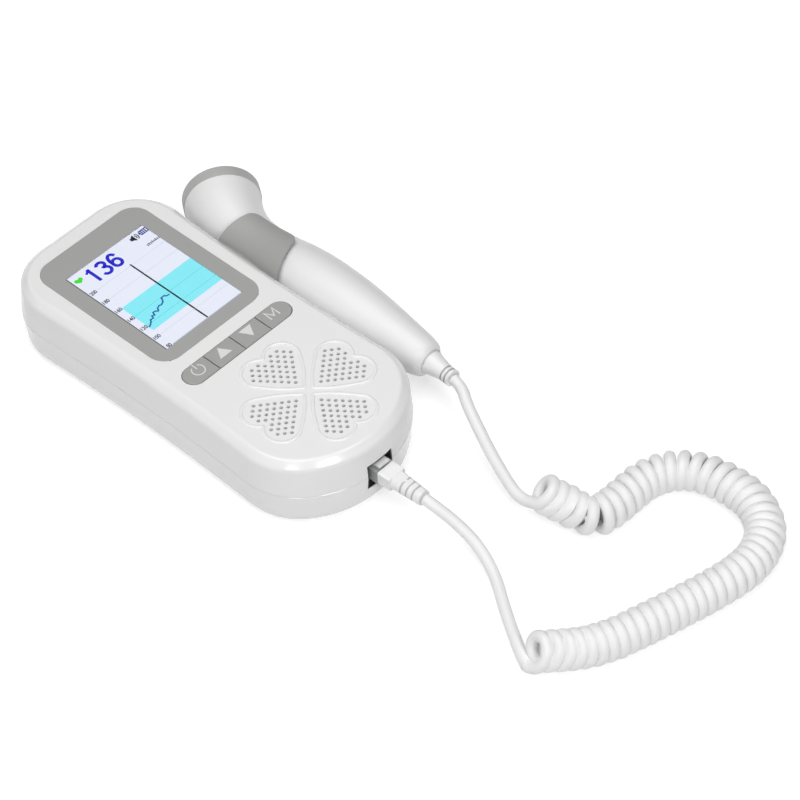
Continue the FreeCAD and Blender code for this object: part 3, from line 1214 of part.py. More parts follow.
def clip_tongue():
    """Upright prism that trims the sleeve: its plan narrows from root to free end."""
    reach = 2 * HEAD_RADIUS
    edge_x = PROBE_X + clip_edge_radius() * math.cos(math.radians(CLIP_FREE_ANGLE))
    root_x = PROBE_X - reach
    low = CLIP_TIP_LOW_Y
    top = CLIP_TIP_TOP_Y
    shoulder_x = PROBE_X - HEAD_RADIUS * 0.9
    points = [
        V(root_x, CLIP_ROOT_LOW_Y, 0), V(shoulder_x, CLIP_ROOT_LOW_Y, 0), V(edge_x, low, 0),
        V(edge_x, top, 0), V(shoulder_x, CLIP_ROOT_TOP_Y, 0), V(root_x, CLIP_ROOT_TOP_Y, 0),
    ]
    plan = Part.Face(Part.makePolygon(points + [points[0]])).extrude(V(0, 0, 2 * BODY_HEIGHT))
    plan.translate(V(0, 0, -BODY_HEIGHT / 2))
    corners = [edge for edge in plan.Edges
               if edge.BoundBox.ZLength > BODY_HEIGHT and abs(edge.BoundBox.XMin - edge_x) < 0.01]
    return plan.makeFillet(CLIP_CORNER, corners)


def clip_edge_radius():
    """Middle radius of the arm at the neck."""
    return NECK_RADIUS / math.sin(math.radians(CLIP_FREE_ANGLE)) + CLIP_AIR + CLIP_THICK / 2


def probe_clip():
    """Grey probe clip: the arm and the foot that is screwed to the flank."""
    low_angle = math.radians(CLIP_LOWER_ANGLE)
    reach = 4 * HEAD_RADIUS
    corners = [
        V(PROBE_X, 0, PROBE_Z),
        V(PROBE_X + reach * math.cos(low_angle), 0, PROBE_Z + reach * math.sin(low_angle)),
        V(PROBE_X + reach, 0, PROBE_Z - reach),
        V(PROBE_X + reach, 0, PROBE_Z),
    ]
    opening = Part.Face(Part.makePolygon(corners + [corners[0]])).extrude(V(0, reach, 0))
    arm = clip_arm().cut(opening)
    foot = box(FLANK_X - BEVEL_WIDTH, PROBE_X - clip_edge_radius() * 0.9, CLIP_ROOT_LOW_Y, CLIP_ROOT_TOP_Y,
               CLIP_FOOT_Z, CLIP_FOOT_Z + CLIP_FOOT_HEIGHT)
    seat = casing_solid([
        (BACK_OFFSET + SMALL_GAP, 0), (SEAM_SWELL + SMALL_GAP, SEAM_Z), (SMALL_GAP, BEVEL_FOOT_Z),
    ])
    clip = fused([foot.cut(seat).cut(clip_core(0)), arm])
    holes = [cylinder(SCREW_RADIUS, 3 * WALL + 2.2, V(FLANK_X - 3 * WALL, y, z), ALONG_X)
             for y, z in clip_screw_places()]
    return clip.cut(Part.makeCompound(holes))


def clip_screws():
    """Two screws from inside the rear shell into the clip's foot."""
    screws = []
    head_x = HALF_WIDTH - FLANK_WAIST - WALL - SCREW_HEAD_THICK
    for y, z in clip_screw_places():
        head = cylinder(SCREW_HEAD_RADIUS, SCREW_HEAD_THICK, V(head_x, y, z), ALONG_X)
        shank = cylinder(SCREW_RADIUS, CLIP_SCREW_LENGTH, V(head_x + SCREW_HEAD_THICK, y, z), ALONG_X)
        screws.append(fused([head, shank]))
    return screws


# ---------------------------------------------------------------- cord
def route_wire(points, name):
    """Straight runs joined by tangent arcs, each arc as large as its two runs allow."""
    corners = [V(*point) for point in points]
    edges = []
    radii = []
    length = 0.0
    start = corners[0]
    for before, corner, after in zip(corners, corners[1:], corners[2:]):
        back = before - corner
        ahead = after - corner
        short = min(back.Length, ahead.Length)
        back.normalize()
        ahead.normalize()
        half_turn = (math.pi - back.getAngle(ahead)) / 2
        setback = 0.45 * short
        radius = setback / math.tan(half_turn)
        first = corner + back * setback
        last = corner + ahead * setback
        bisector = back + ahead
        bisector.normalize()
        centre = corner + bisector * (radius / math.cos(half_turn))
        middle = centre - bisector * radius
        edges.append(Part.LineSegment(start, first).toShape())
        edges.append(Part.Arc(first, middle, last).toShape())
        length += (first - start).Length + 2 * half_turn * radius
        radii.append(round(radius, 1))
        start = last
    edges.append(Part.LineSegment(start, corners[-1]).toShape())
    length += (corners[-1] - start).Length
    print(name, "bend radii", radii, "length", round(length, 1))
    return Part.Wire(edges), length


def tube(points, radius, name):
    """A round bar along a route, with its volume set against its section times its length."""
    wire, length = route_wire(points, name)
    first = V(*points[0])
    way = V(*points[1]) - first
    profile = circle_wire(first, way, radius)
    solid = wire.makePipeShell([profile], True, False)
    expected = math.pi * radius ** 2 * length
    print(name, "volume", round(solid.Volume), "expected", round(expected), "valid", solid.isValid())
    return solid


def cord_coil():
    """The curly part of the cord as one fat bar of its outer size."""
    return tube(COIL_ROUTE, COIL_RADIUS, "cord_coil")


def coil_room():
    """The coil with a little air round it, to trim the cord's runs against."""
    start = V(*COIL_ROUTE[0])
    first_way = start - V(*COIL_ROUTE[1])
    first_way.normalize()
    end = V(*COIL_ROUTE[-1])
    last_way = end - V(*COIL_ROUTE[-2])
    last_way.normalize()
    first = tuple(start + first_way * JOIN_GAP)
    last = tuple(end + last_way * JOIN_GAP)
    points = [first] + list(COIL_ROUTE[1:-1]) + [last]
    return tube(points, COIL_RADIUS + JOIN_GAP, "coil_room")


def cord_run(points, name, room):
    """A plain stretch of cord that stops at the coil's face."""
    solid = tube(points, CORD_RADIUS, name).cut(room)
    pieces = sorted(solid.Solids, key=lambda piece: -piece.Volume)
    return pieces[0]


# ---------------------------------------------------------------- export
def save(name, shape):
    """Write one node, a solid or a list of separate solids."""
    if isinstance(shape, list):
        shape = Part.makeCompound(shape)
    if not shape.isValid() or not shape.Solids:
        print("CHECK", name, "valid", shape.isValid(), "solids", len(shape.Solids))
    shape.exportStep(f"parts/{name}.step")


def main():
    os.makedirs("parts", exist_ok=True)
    outside = casing_outside()
    save("front_shell", front_shell(outside))
    save("rear_shell", rear_shell(outside))
    save("battery_door", battery_door(outside))
    save("case_screws", case_screws())
    save("screen_bezel", screen_bezel())
    save("screen_window", screen_window())
    save("lcd_panel", lcd_panel())
    save("lcd_frame", lcd_frame())
    save("lcd_ribbon", lcd_ribbon())
    save("main_board", main_board())
    save("board_chips", board_chips())
    save("board_screws", board_screws())
    for index, name in enumerate(KEY_NAMES):
        save(name, key_piece(index))
    save("key_mat", key_mat())
    save("key_switches", key_switches())
    save("dust_cloth", dust_cloth())
    save("speaker_gasket", speaker_gasket())
    save("speaker_basket", speaker_basket())
    save("speaker_cone", speaker_cone())
    save("speaker_magnet", speaker_magnet())
    save("battery_left", battery(-1))
    save("battery_right", battery(1))
    save("battery_springs", battery_springs())
    save("battery_plates", battery_plates())
    save("headphone_jack", headphone_jack())
    save("probe_jack", probe_jack())
    save("jack_contacts", jack_contacts())
    save("plug_body", plug_body())
    save("plug_contacts", plug_contacts())
    save("plug_latch", plug_latch())
    save("plug_boot", plug_boot())
    skin = probe_skin()
    save("probe_upper_shell", probe_half(skin, 1))
    save("probe_lower_shell", probe_half(skin, -1))
    save("probe_screws", probe_screws())
    save("probe_cap", probe_cap())
    save("probe_face", probe_face())
    save("crystals", crystals())
    save("crystal_backing", crystal_backing())
    save("probe_board", probe_board())
    save("probe_strain_relief", probe_strain_relief())
    save("probe_clip", probe_clip())
    save("clip_screws", clip_screws())
    save("cord_coil", cord_coil())
    room = coil_room()
    save("cord_probe_run", cord_run(PROBE_RUN, "cord_probe_run", room))
    save("cord_plug_run", cord_run(PLUG_RUN, "cord_plug_run", room))


main()
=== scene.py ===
"""Fetal doppler monitor, dressed: moulded casing, lit display, probe in its clip and a curly cord.

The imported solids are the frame. Metres in Blender, millimetres in the numbers below, +Z up.
"""
import json
import math

import bmesh
import bpy
import numpy as np
from mathutils import Matrix, Vector
from mathutils.bvhtree import BVHTree

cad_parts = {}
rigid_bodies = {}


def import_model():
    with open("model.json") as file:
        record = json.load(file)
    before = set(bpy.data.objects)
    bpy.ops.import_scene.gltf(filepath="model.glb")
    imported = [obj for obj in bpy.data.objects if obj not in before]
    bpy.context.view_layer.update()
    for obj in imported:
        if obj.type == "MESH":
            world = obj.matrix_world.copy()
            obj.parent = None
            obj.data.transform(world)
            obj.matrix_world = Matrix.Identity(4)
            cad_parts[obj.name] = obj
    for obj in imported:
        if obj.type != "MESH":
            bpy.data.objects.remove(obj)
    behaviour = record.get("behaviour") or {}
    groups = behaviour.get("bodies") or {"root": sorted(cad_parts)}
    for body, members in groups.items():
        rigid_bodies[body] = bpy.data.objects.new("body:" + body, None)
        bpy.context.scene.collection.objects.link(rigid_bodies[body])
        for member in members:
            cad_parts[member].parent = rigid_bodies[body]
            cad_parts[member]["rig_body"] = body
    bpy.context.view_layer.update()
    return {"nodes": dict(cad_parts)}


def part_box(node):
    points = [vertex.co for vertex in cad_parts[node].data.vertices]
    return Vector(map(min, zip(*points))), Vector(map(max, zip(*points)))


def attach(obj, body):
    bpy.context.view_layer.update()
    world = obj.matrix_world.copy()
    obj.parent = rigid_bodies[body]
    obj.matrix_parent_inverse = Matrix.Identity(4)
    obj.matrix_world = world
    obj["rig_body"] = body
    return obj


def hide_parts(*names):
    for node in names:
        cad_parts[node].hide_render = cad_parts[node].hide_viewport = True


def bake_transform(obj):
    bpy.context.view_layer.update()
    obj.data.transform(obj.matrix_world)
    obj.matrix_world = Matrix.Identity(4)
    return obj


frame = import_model()
MM = 0.001


# ---------------------------------------------------------------- front shell
# The upper half of the casing: glossy white ABS from a polished mould. Its grille holes and
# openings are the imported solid's own, shaded smooth here, and its four raised hearts are drawn
# as round beads over the solid's flat ridges.
def paint(code, alpha=1.0):
    """An sRGB hex colour as linear red, green, blue and alpha."""
    channels = [int(code[i:i + 2], 16) / 255 for i in (0, 2, 4)]
    return [c / 12.92 if c <= 0.04045 else ((c + 0.055) / 1.055) ** 2.4 for c in channels] + [alpha]


def add_node(material, kind, settings=None, **links):
    """Adds one node to a material or world, sets its sockets or properties, and links inputs by name."""
    tree = material.node_tree
    node = tree.nodes.new(kind)
    for key, value in (settings or {}).items():
        if key in node.inputs:
            node.inputs[key].default_value = value
        else:
            setattr(node, key, value)
    for key, (source, output) in links.items():
        tree.links.new(source.outputs[output], node.inputs[key.replace("_", " ")])
    return node


def surface(name, colour, settings, waves_mm=0.0, relief_mm=0.0, grain_mm=0.0, grain_relief_mm=0.0):
    """A material with long soft waves and a fine grain in its surface, both sized in millimetres."""
    material = bpy.data.materials.new(name)
    material.use_nodes = True
    shader = material.node_tree.nodes["Principled BSDF"]
    shader.inputs["Base Color"].default_value = paint(colour)
    for key, value in settings.items():
        shader.inputs[key].default_value = value
    place = add_node(material, "ShaderNodeTexCoord")
    height = None
    for size, relief in ((waves_mm, relief_mm), (grain_mm, grain_relief_mm)):
        if size:
            noise = add_node(material, "ShaderNodeTexNoise", {"Scale": 1 / (size * MM), "Detail": 2.0},
                             Vector=(place, "Object"))
            bump = {"Distance": relief * MM, "Strength": 1.0}
            links = {"Height": (noise, "Fac")}
            if height:
                links["Normal"] = (height, "Normal")
            height = add_node(material, "ShaderNodeBump", bump, **links)
    if height:
        material.node_tree.links.new(height.outputs["Normal"], shader.inputs["Normal"])
    return material


# polished mould: a clear gloss over white, with the faint swim of a thin wall that shrank
white_abs = surface("white_abs_polished", "EDEDED", {"Roughness": 0.16, "IOR": 1.52},
                    waves_mm=9.0, relief_mm=0.012, grain_mm=0.9, grain_relief_mm=0.0012)


def new_object(name, data):
    """A new object in the scene that holds this mesh, curve, light or camera."""
    made = bpy.data.objects.new(name, data)
    bpy.context.scene.collection.objects.link(made)
    return made


def smooth_copy(node, material, crease_deg=34, top_mm=1000.0):
    """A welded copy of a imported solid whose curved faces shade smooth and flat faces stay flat.

    What stands above the top height is pressed down to it."""
    mesh = frame["nodes"][node].data.copy()
    welded = bmesh.new()
    welded.from_mesh(mesh)
    for vert in welded.verts:
        vert.co.z = min(vert.co.z, top_mm * MM)
    bmesh.ops.remove_doubles(welded, verts=welded.verts, dist=0.002 * MM)
    welded.to_mesh(mesh)
    welded.free()
    custom = mesh.attributes.get("custom_normal")
    if custom:
        mesh.attributes.remove(custom)
    mesh.shade_smooth()
    mesh.set_sharp_from_angle(angle=math.radians(crease_deg))
    mesh.materials.clear()
    mesh.materials.append(material)
    piece = new_object(node + "_dressed", mesh)
    weighting = piece.modifiers.new("flat faces lead", "WEIGHTED_NORMAL")
    weighting.mode = "FACE_AREA"
    weighting.weight = 50
    weighting.keep_sharp = True
    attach(piece, frame["nodes"][node]["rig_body"])
    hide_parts(node)


# the grille's hearts: one points at the clover's centre from +X, the others from each quarter turn
FACE_Z = 30.0
CLOVER_Y = -42.0
HEART_TIP = 1.8
TIP_REACH = 0.6     # the bead's point runs this much nearer to the centre than the outline's
SIDE_SWELL = 0.6
LOBE_ALONG = 18.0
LOBE_ACROSS = 5.3
LOBE_RADIUS = 6.9
RIDGE_WIDTH = 1.1
RIDGE_HEIGHT = 0.33
BEAD_HALF = 0.68
BEAD_SINK = 0.03    # how far a bead's feet reach into the face


def unit(vectors):
    """Vectors scaled to length one."""
    return vectors / np.linalg.norm(vectors, axis=-1, keepdims=True)


def heart_line():
    """Evenly spaced points (along, across) on one heart of the grille, its corners eased."""
    radius = LOBE_RADIUS - RIDGE_WIDTH / 2
    slope = math.atan2(LOBE_ACROSS, LOBE_ALONG - HEART_TIP)
    slope += math.asin(LOBE_RADIUS / math.hypot(LOBE_ALONG - HEART_TIP, LOBE_ACROSS))
    tip = HEART_TIP + RIDGE_WIDTH / 2 / math.sin(slope) - TIP_REACH
    cleft = math.asin(LOBE_ACROSS / radius)
    angle = np.linspace(math.pi / 2 + slope, -cleft, 60)
    lobe = np.stack([LOBE_ALONG + radius * np.cos(angle), LOBE_ACROSS + radius * np.sin(angle)], axis=1)
    part = np.linspace(0, 1, 40)[:, None]
    swell = unit(np.array((-lobe[0][1], lobe[0][0] - tip))) * SIDE_SWELL
    side = np.array((tip, 0.0)) * (1 - part) + lobe[0] * part + swell * np.sin(math.pi * part)
    half = np.concatenate([side, lobe[1:]])
    line = np.concatenate([half, half[-2:0:-1] * (1, -1)])
    closed = np.concatenate([line, line[:1]])
    along = np.concatenate(([0], np.cumsum(np.linalg.norm(np.diff(closed, axis=0), axis=1))))
    even = np.arange(0, along[-1], along[-1] / 240)
    line = np.stack([np.interp(even, along, closed[:, i]) for i in range(2)], axis=1)
    for _ in range(6):
        line = (np.roll(line, 1, axis=0) + 2 * line + np.roll(line, -1, axis=0)) / 4
    return line


def loop_quads(loops, count, base=0, closed=False):
    """Four-sided faces from each loop of points to the next, and from the last to the first if closed."""
    faces = []
    for loop in range(loops if closed else loops - 1):
        here = base + loop * count
        ahead = base + (loop + 1) % loops * count
        for i in range(count):
            j = (i + 1) % count
            faces.append((here + i, here + j, ahead + j, ahead + i))
    return faces


def heart_beads(sides=8):
    """The raised outlines of the four hearts: half-round beads a hair into the face."""
    verts = []
    faces = []
    line = heart_line()
    ahead = unit(np.roll(line, -1, axis=0) - np.roll(line, 1, axis=0))
    out = np.stack([ahead[:, 1], -ahead[:, 0]], axis=1)
    count = len(line)
    for quarter in range(4):
        turned = np.linalg.matrix_power(np.array([(0, -1), (1, 0)]), quarter)
        base = len(verts)
        for step in range(sides + 1):
            angle = math.pi * step / sides
            ring = (line + out * BEAD_HALF * math.cos(angle)) @ turned.T + (0, CLOVER_Y)
            height = FACE_Z - BEAD_SINK + (RIDGE_HEIGHT + BEAD_SINK) * math.sin(angle)
            verts += [(x * MM, y * MM, height * MM) for x, y in ring.tolist()]
        faces += loop_quads(sides + 1, count, base)
    mesh = bpy.data.meshes.new("heart_beads")
    mesh.from_pydata(verts, [], faces)
    mesh.shade_smooth()
    mesh.materials.append(white_abs)
    beads = new_object("heart_beads", mesh)
    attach(beads, "monitor")


smooth_copy("front_shell", white_abs, top_mm=FACE_Z)
heart_beads()

# ---------------------------------------------------------------- rear shell and battery door
# The lower half and the sliding door are the same white ABS. The door's grip ribs and the seam
# round the casing come with the solids.
smooth_copy("rear_shell", white_abs)
smooth_copy("battery_door", white_abs)

# ---------------------------------------------------------------- grey trim
# The screen surround and the probe's clip are satin grey ABS from a finely etched mould. The
# surround lies flush in the face, and the clip is screwed to the flank below the seam.
grey_abs = surface("grey_abs_satin", "A5A5A4", {"Roughness": 0.42, "IOR": 1.5},
                   waves_mm=12.0, relief_mm=0.015, grain_mm=0.35, grain_relief_mm=0.003)
smooth_copy("screen_bezel", grey_abs)
smooth_copy("probe_clip", grey_abs)

# ---------------------------------------------------------------- window and display
# Clear acrylic glued under the surround, with the lit 2.4 inch panel 0.1 mm below it. The picture
# is drawn as flat shapes on the panel's top, each layer a hair above the last. The window's low
# index is that of its coat against glare.
acrylic = surface("clear_acrylic", "FFFFFF", {"Transmission Weight": 1.0, "Roughness": 0.03, "IOR": 1.25},
                  waves_mm=14.0, relief_mm=0.004)


def give_finish(node, material):
    """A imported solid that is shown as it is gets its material."""
    slots = frame["nodes"][node].data.materials
    slots.clear()
    slots.append(material)


def lit(name, code):
    """A colour of the display: light from behind through a dark, faintly glossy panel."""
    material = bpy.data.materials.new(name)
    material.use_nodes = True
    shader = material.node_tree.nodes["Principled BSDF"]
    shader.inputs["Base Color"].default_value = paint("08090C")
    shader.inputs["Roughness"].default_value = 0.35
    shader.inputs["Emission Color"].default_value = paint(code)
    shader.inputs["Emission Strength"].default_value = 1.0
    return material


give_finish("screen_window", acrylic)
PANEL_TOP_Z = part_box("lcd_panel")[1][2] / MM
PICTURE = (-17.45, 19.3, 8.75, 58.8)    # as x0, x1, y0, y1
LAYER = 0.02


def band_shape(x0, x1, y0, y1):
    """A rectangle as corner points."""
    return [(x0, y0), (x1, y0), (x1, y1), (x0, y1)]


def stroke_shapes(points, width, closed=False):
    """A line of even width through points, as one four-sided shape for each run, mitred at corners."""
    line = np.array(points, float)
    steps = unit(np.roll(line, -1, axis=0) - line) if closed else unit(np.diff(line, axis=0))
    before = np.roll(steps, 1, axis=0) if closed else np.vstack([steps[:1], steps])
    after = steps if closed else np.vstack([steps, steps[-1:]])
    quarter_turn = np.array([[0, 1], [-1, 0]])
    across = unit(before + after) @ quarter_turn
    widening = np.abs(np.sum(across * (before @ quarter_turn), axis=1))
    reach = width / 2 / np.maximum(widening, 0.5)
    left = line + across * reach[:, None]
    right = line - across * reach[:, None]
    last = len(line) if closed else len(line) - 1
    shapes = []
    for i in range(last):
        j = (i + 1) % len(line)
        shapes.append([tuple(left[i]), tuple(right[i]), tuple(right[j]), tuple(left[j])])
    return shapes


def oval_points(x, y, wide, high, start, end, count):
    """Points on an oval, its angles in degrees from +X."""
    angle = np.radians(np.linspace(start, end, count))
    return [(x + wide * math.cos(a), y + high * math.sin(a)) for a in angle]


def arc_points(x, y, radius, start, end, count):
    """Points on an arc, its angles in degrees from +X."""
    return oval_points(x, y, radius, radius, start, end, count)


def flat_piece(name, shapes, z, material, body, thick=0.0):
    """Flat shapes at one height as one piece that rides on a body, thickened downwards if asked."""
    verts, faces = [], []
    for shape in shapes:
        area = sum(a[0] * b[1] - b[0] * a[1] for a, b in zip(shape, shape[1:] + shape[:1]))
        turned = shape if area > 0 else shape[::-1]
        faces.append(list(range(len(verts), len(verts) + len(shape))))
        verts.extend((x * MM, y * MM, z * MM) for x, y in turned)
    mesh = bpy.data.meshes.new(name)
    mesh.from_pydata(verts, [], faces)
    mesh.materials.append(material)
    piece = new_object(name, mesh)
    if thick:
        solidify = piece.modifiers.new("ink", "SOLIDIFY")
        solidify.thickness = thick * MM
        solidify.offset = -1.0
    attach(piece, body)


def label(name, words, place, z, material, body, weight=0.0):
    """Numbers or a letter fitted to a box (x0, x1, y0, y1), as a flat piece; weight makes it bolder."""
    curve = bpy.data.curves.new(name, "FONT")
    curve.body = words
    curve.offset = weight
    curve.resolution_u = 6
    holder = new_object(name + "_font", curve)
    bpy.context.view_layer.update()
    mesh = bpy.data.meshes.new_from_object(holder)
    bpy.data.objects.remove(holder)
    bpy.data.curves.remove(curve)
    flat = np.empty(3 * len(mesh.vertices))
    mesh.vertices.foreach_get("co", flat)
    points = flat.reshape(-1, 3)
    low, high = points.min(axis=0), points.max(axis=0)
    x0, x1, y0, y1 = place
    points[:, 0] = x0 + (points[:, 0] - low[0]) / (high[0] - low[0]) * (x1 - x0)
    points[:, 1] = y0 + (points[:, 1] - low[1]) / (high[1] - low[1]) * (y1 - y0)
    points[:, 2] = z
    mesh.vertices.foreach_set("co", (points * MM).ravel())
    mesh.name = name
    mesh.materials.clear()
    mesh.materials.append(material)
    piece = new_object(name, mesh)
    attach(piece, body)


CHART_TOP_Y = 46.8      # the height of 200 beats a minute
BEAT_STEP = 0.317


def scale_y(value):
    """Height of a heart rate on the chart."""
    return CHART_TOP_Y - (200 - value) * BEAT_STEP


def on_screen(name, shapes, layer, material):
    """Shapes of the picture on one of its layers."""
    flat_piece(name, shapes, PANEL_TOP_Z + LAYER * layer, material, "monitor")


pale = lit("display_pale_blue", "E9EDFB")
band_cyan = lit("display_band_cyan", "87ECF8")
rule_grey = lit("display_rule_grey", "C9CEDD")
rule_cyan = lit("display_rule_cyan", "52C8CF")
rate_blue = lit("display_rate_blue", "1A18C8")
trace_blue = lit("display_trace_blue", "1558A0")
scale_ink = lit("display_scale_ink", "34364E")
cursor_ink = lit("display_cursor_ink", "101820")
icon_navy = lit("display_icon_navy", "27348E")
beat_green = lit("display_beat_green", "33E01F")
strip_lilac = lit("display_strip_lilac", "B4B7C9")
# a dark display colour used only as painted shadow of the surround's recess
recess_shadow_ink = lit("display_recess_shadow", "3A3B36")
left_x, right_x, low_y, high_y = PICTURE
CHART_LEFT = -14.4
RULE_HALF = 0.07
RECESS_SHADOW_WIDTH = 0.4
FOOT_DEPTH = 0.9
foot_y = low_y - FOOT_DEPTH
on_screen("display_ground", [band_shape(left_x, right_x, low_y, high_y)], 1, pale)
on_screen("display_strip", [band_shape(CHART_LEFT, right_x, foot_y, low_y)], 1, strip_lilac)
on_screen("display_foot", [band_shape(left_x, CHART_LEFT, foot_y, low_y)], 1, pale)
# painted shadow: thin dark lines along the picture's left edge and the low part of its right edge, where the
# surround's recess wall shades the panel
recess_shadow_lines = [band_shape(left_x - RECESS_SHADOW_WIDTH, left_x, foot_y, high_y),
        band_shape(right_x - 0.25, right_x, low_y, 18.4)]
on_screen("display_recess_shadow", recess_shadow_lines, 2, recess_shadow_ink)
on_screen("display_band", [band_shape(CHART_LEFT, right_x, scale_y(110), scale_y(160))], 2, band_cyan)
rules = {value: band_shape(CHART_LEFT, right_x, scale_y(value) - RULE_HALF, scale_y(value) + RULE_HALF)
         for value in range(80, 201, 20)}
on_screen("display_rules", [rules[value] for value in (80, 100, 180, 200)], 3, rule_grey)
on_screen("display_band_rules", [rules[value] for value in (120, 140)], 3, rule_cyan)
TRACE = (
    (-14.4, 20.5), (-13.4, 20.8), (-12.1, 21.8), (-11.6, 22.6), (-10.3, 22.5), (-10.0, 23.6), (-9.0, 23.2),
    (-8.6, 24.5), (-7.5, 24.4), (-7.0, 23.7), (-6.5, 23.9), (-6.2, 24.7), (-4.8, 25.4), (-4.1, 25.0),
    (-2.7, 25.6), (-2.0, 26.7), (-1.8, 27.4), (-0.5, 27.6), (0.2, 26.8), (1.5, 26.6),
)
on_screen("display_trace", stroke_shapes(TRACE, 0.58), 4, trace_blue)
CURSOR_X = 2.45
on_screen("display_cursor", [band_shape(CURSOR_X - 0.33, CURSOR_X + 0.33, low_y, 47.5)], 3, cursor_ink)
HEART_ICON = (-15.0, 54.85)


def heart_shape(x, y, lobe):
    """A heart: two round lobes over a point."""
    outline = arc_points(x + lobe, y + lobe * 0.35, lobe * 1.06, -38, 160, 14)
    outline += arc_points(x - lobe, y + lobe * 0.35, lobe * 1.06, 20, 218, 14)
    return outline + [(x, y - lobe * 1.6)]


on_screen("display_heart", [heart_shape(*HEART_ICON, 0.85)], 3, beat_green)
SPEAKER_ICON = (12.6, 55.9)
icon_x, icon_y = SPEAKER_ICON
horn = [(icon_x - 1.8, icon_y - 0.75), (icon_x - 1.1, icon_y - 0.75), (icon_x + 0.2, icon_y - 1.75),
        (icon_x + 0.2, icon_y + 1.75), (icon_x - 1.1, icon_y + 0.75), (icon_x - 1.8, icon_y + 0.75)]
sound = [shape for reach in (0.85, 1.6)
         for shape in stroke_shapes(arc_points(icon_x + 0.15, icon_y, reach, -60, 60, 9), 0.42)]
on_screen("display_speaker_icon", [horn] + sound, 3, cursor_ink)
BATTERY_ICON = (15.6, 19.2, 55.1, 57.1)
cell_x0, _, cell_y0, cell_y1 = BATTERY_ICON
cell = stroke_shapes(band_shape(*BATTERY_ICON), 0.42, closed=True)
cell.append(band_shape(cell_x0 - 0.65, cell_x0 - 0.15, cell_y0 + 0.5, cell_y1 - 0.5))
cell.extend(band_shape(cell_x0 + 0.45 + 0.8 * i, cell_x0 + 0.95 + 0.8 * i, cell_y0 + 0.2, cell_y1 - 0.2)
            for i in range(3))
on_screen("display_battery_icon", cell, 3, icon_navy)
signal = [band_shape(13.1 + 0.78 * i, 13.55 + 0.78 * i, 49.3, 50.2 + 0.3 * (i % 2)) for i in range(8)]
on_screen("display_signal_icon", signal, 3, scale_ink)

# the heart rate: a one with its flag, a three of two bowls and a six of a bowl under a long curve
DIGIT_STROKE = 1.3
one = stroke_shapes([(-9.55, 49.3), (-9.55, 56.9)], DIGIT_STROKE)
one += stroke_shapes([(-11.25, 55.15), (-10.3, 55.75), (-9.5, 56.5)], 0.95)
three = oval_points(-4.85, 54.85, 1.6, 1.45, 165, -80, 22)
three += oval_points(-4.8, 51.55, 1.75, 1.75, 80, -165, 26)
six_bowl = oval_points(0.35, 51.7, 1.7, 1.85, 0, 345, 24)
six_back = oval_points(0.45, 53.15, 1.8, 3.25, 200, 32, 24)
rate = one + stroke_shapes(three, DIGIT_STROKE) + stroke_shapes(six_bowl, DIGIT_STROKE, closed=True)
on_screen("display_rate", rate, 3, rate_blue)
on_screen("display_rate_six", stroke_shapes(six_back, DIGIT_STROKE), 4, rate_blue)
SCALE_X = -15.75
SCALE_HALF = 0.88       # half the height of a scale number
SCALE_WEIGHT = 0.028
for value in range(80, 201, 20):
    wide = 1.35 if value >= 100 else 0.95
    raised = 0.45 if value == 80 else 0.0
    foot, head = scale_y(value) - SCALE_HALF + raised, scale_y(value) + SCALE_HALF + raised
    label(f"display_scale_{value}", str(value), (SCALE_X - wide, SCALE_X + wide, foot, head),
          PANEL_TOP_Z + 3 * LAYER, scale_ink, "monitor", SCALE_WEIGHT)

# ---------------------------------------------------------------- keys
# Four satin grey keys in one strip, with their signs printed in pale ink: a power sign, two
# triangles and the letter M. The print moves with its key.
key_plastic = surface("key_plastic_satin", "A4A4A2", {"Roughness": 0.4, "IOR": 1.5},
                      waves_mm=8.0, relief_mm=0.01, grain_mm=0.3, grain_relief_mm=0.003)
pad_ink = surface("pad_ink_pale", "DEDEDC", {"Roughness": 0.5}, grain_mm=0.2, grain_relief_mm=0.002)
for key in ("power_key", "up_key", "down_key", "mode_key"):
    smooth_copy(key, key_plastic)
INK_THICK = 0.04
SIGN_STROKE = 0.42
INK_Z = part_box("power_key")[1][2] / MM + INK_THICK
POWER_SIGN = (-18.0, -7.5)
power_x, power_y = POWER_SIGN
power_sign = stroke_shapes(arc_points(power_x, power_y, 2.35, 122, 418, 33), SIGN_STROKE)
power_sign += stroke_shapes([(power_x, power_y + 0.6), (power_x, power_y + 4.0)], SIGN_STROKE)
flat_piece("power_sign", power_sign, INK_Z, pad_ink, "power_key", INK_THICK)
UP_SIGN = [(-9.4, -9.6), (-3.8, -9.6), (-6.6, -5.0)]
DOWN_SIGN = [(3.45, -5.2), (8.95, -5.2), (6.2, -10.1)]
flat_piece("up_sign", [UP_SIGN], INK_Z, pad_ink, "up_key", INK_THICK)
flat_piece("down_sign", [DOWN_SIGN], INK_Z, pad_ink, "down_key", INK_THICK)
LETTER_M = [(15.6, -9.5), (15.6, -5.3), (17.55, -8.6), (19.5, -5.3), (19.5, -9.5)]
flat_piece("mode_sign", stroke_shapes(LETTER_M, 0.55), INK_Z, pad_ink, "mode_key", INK_THICK)

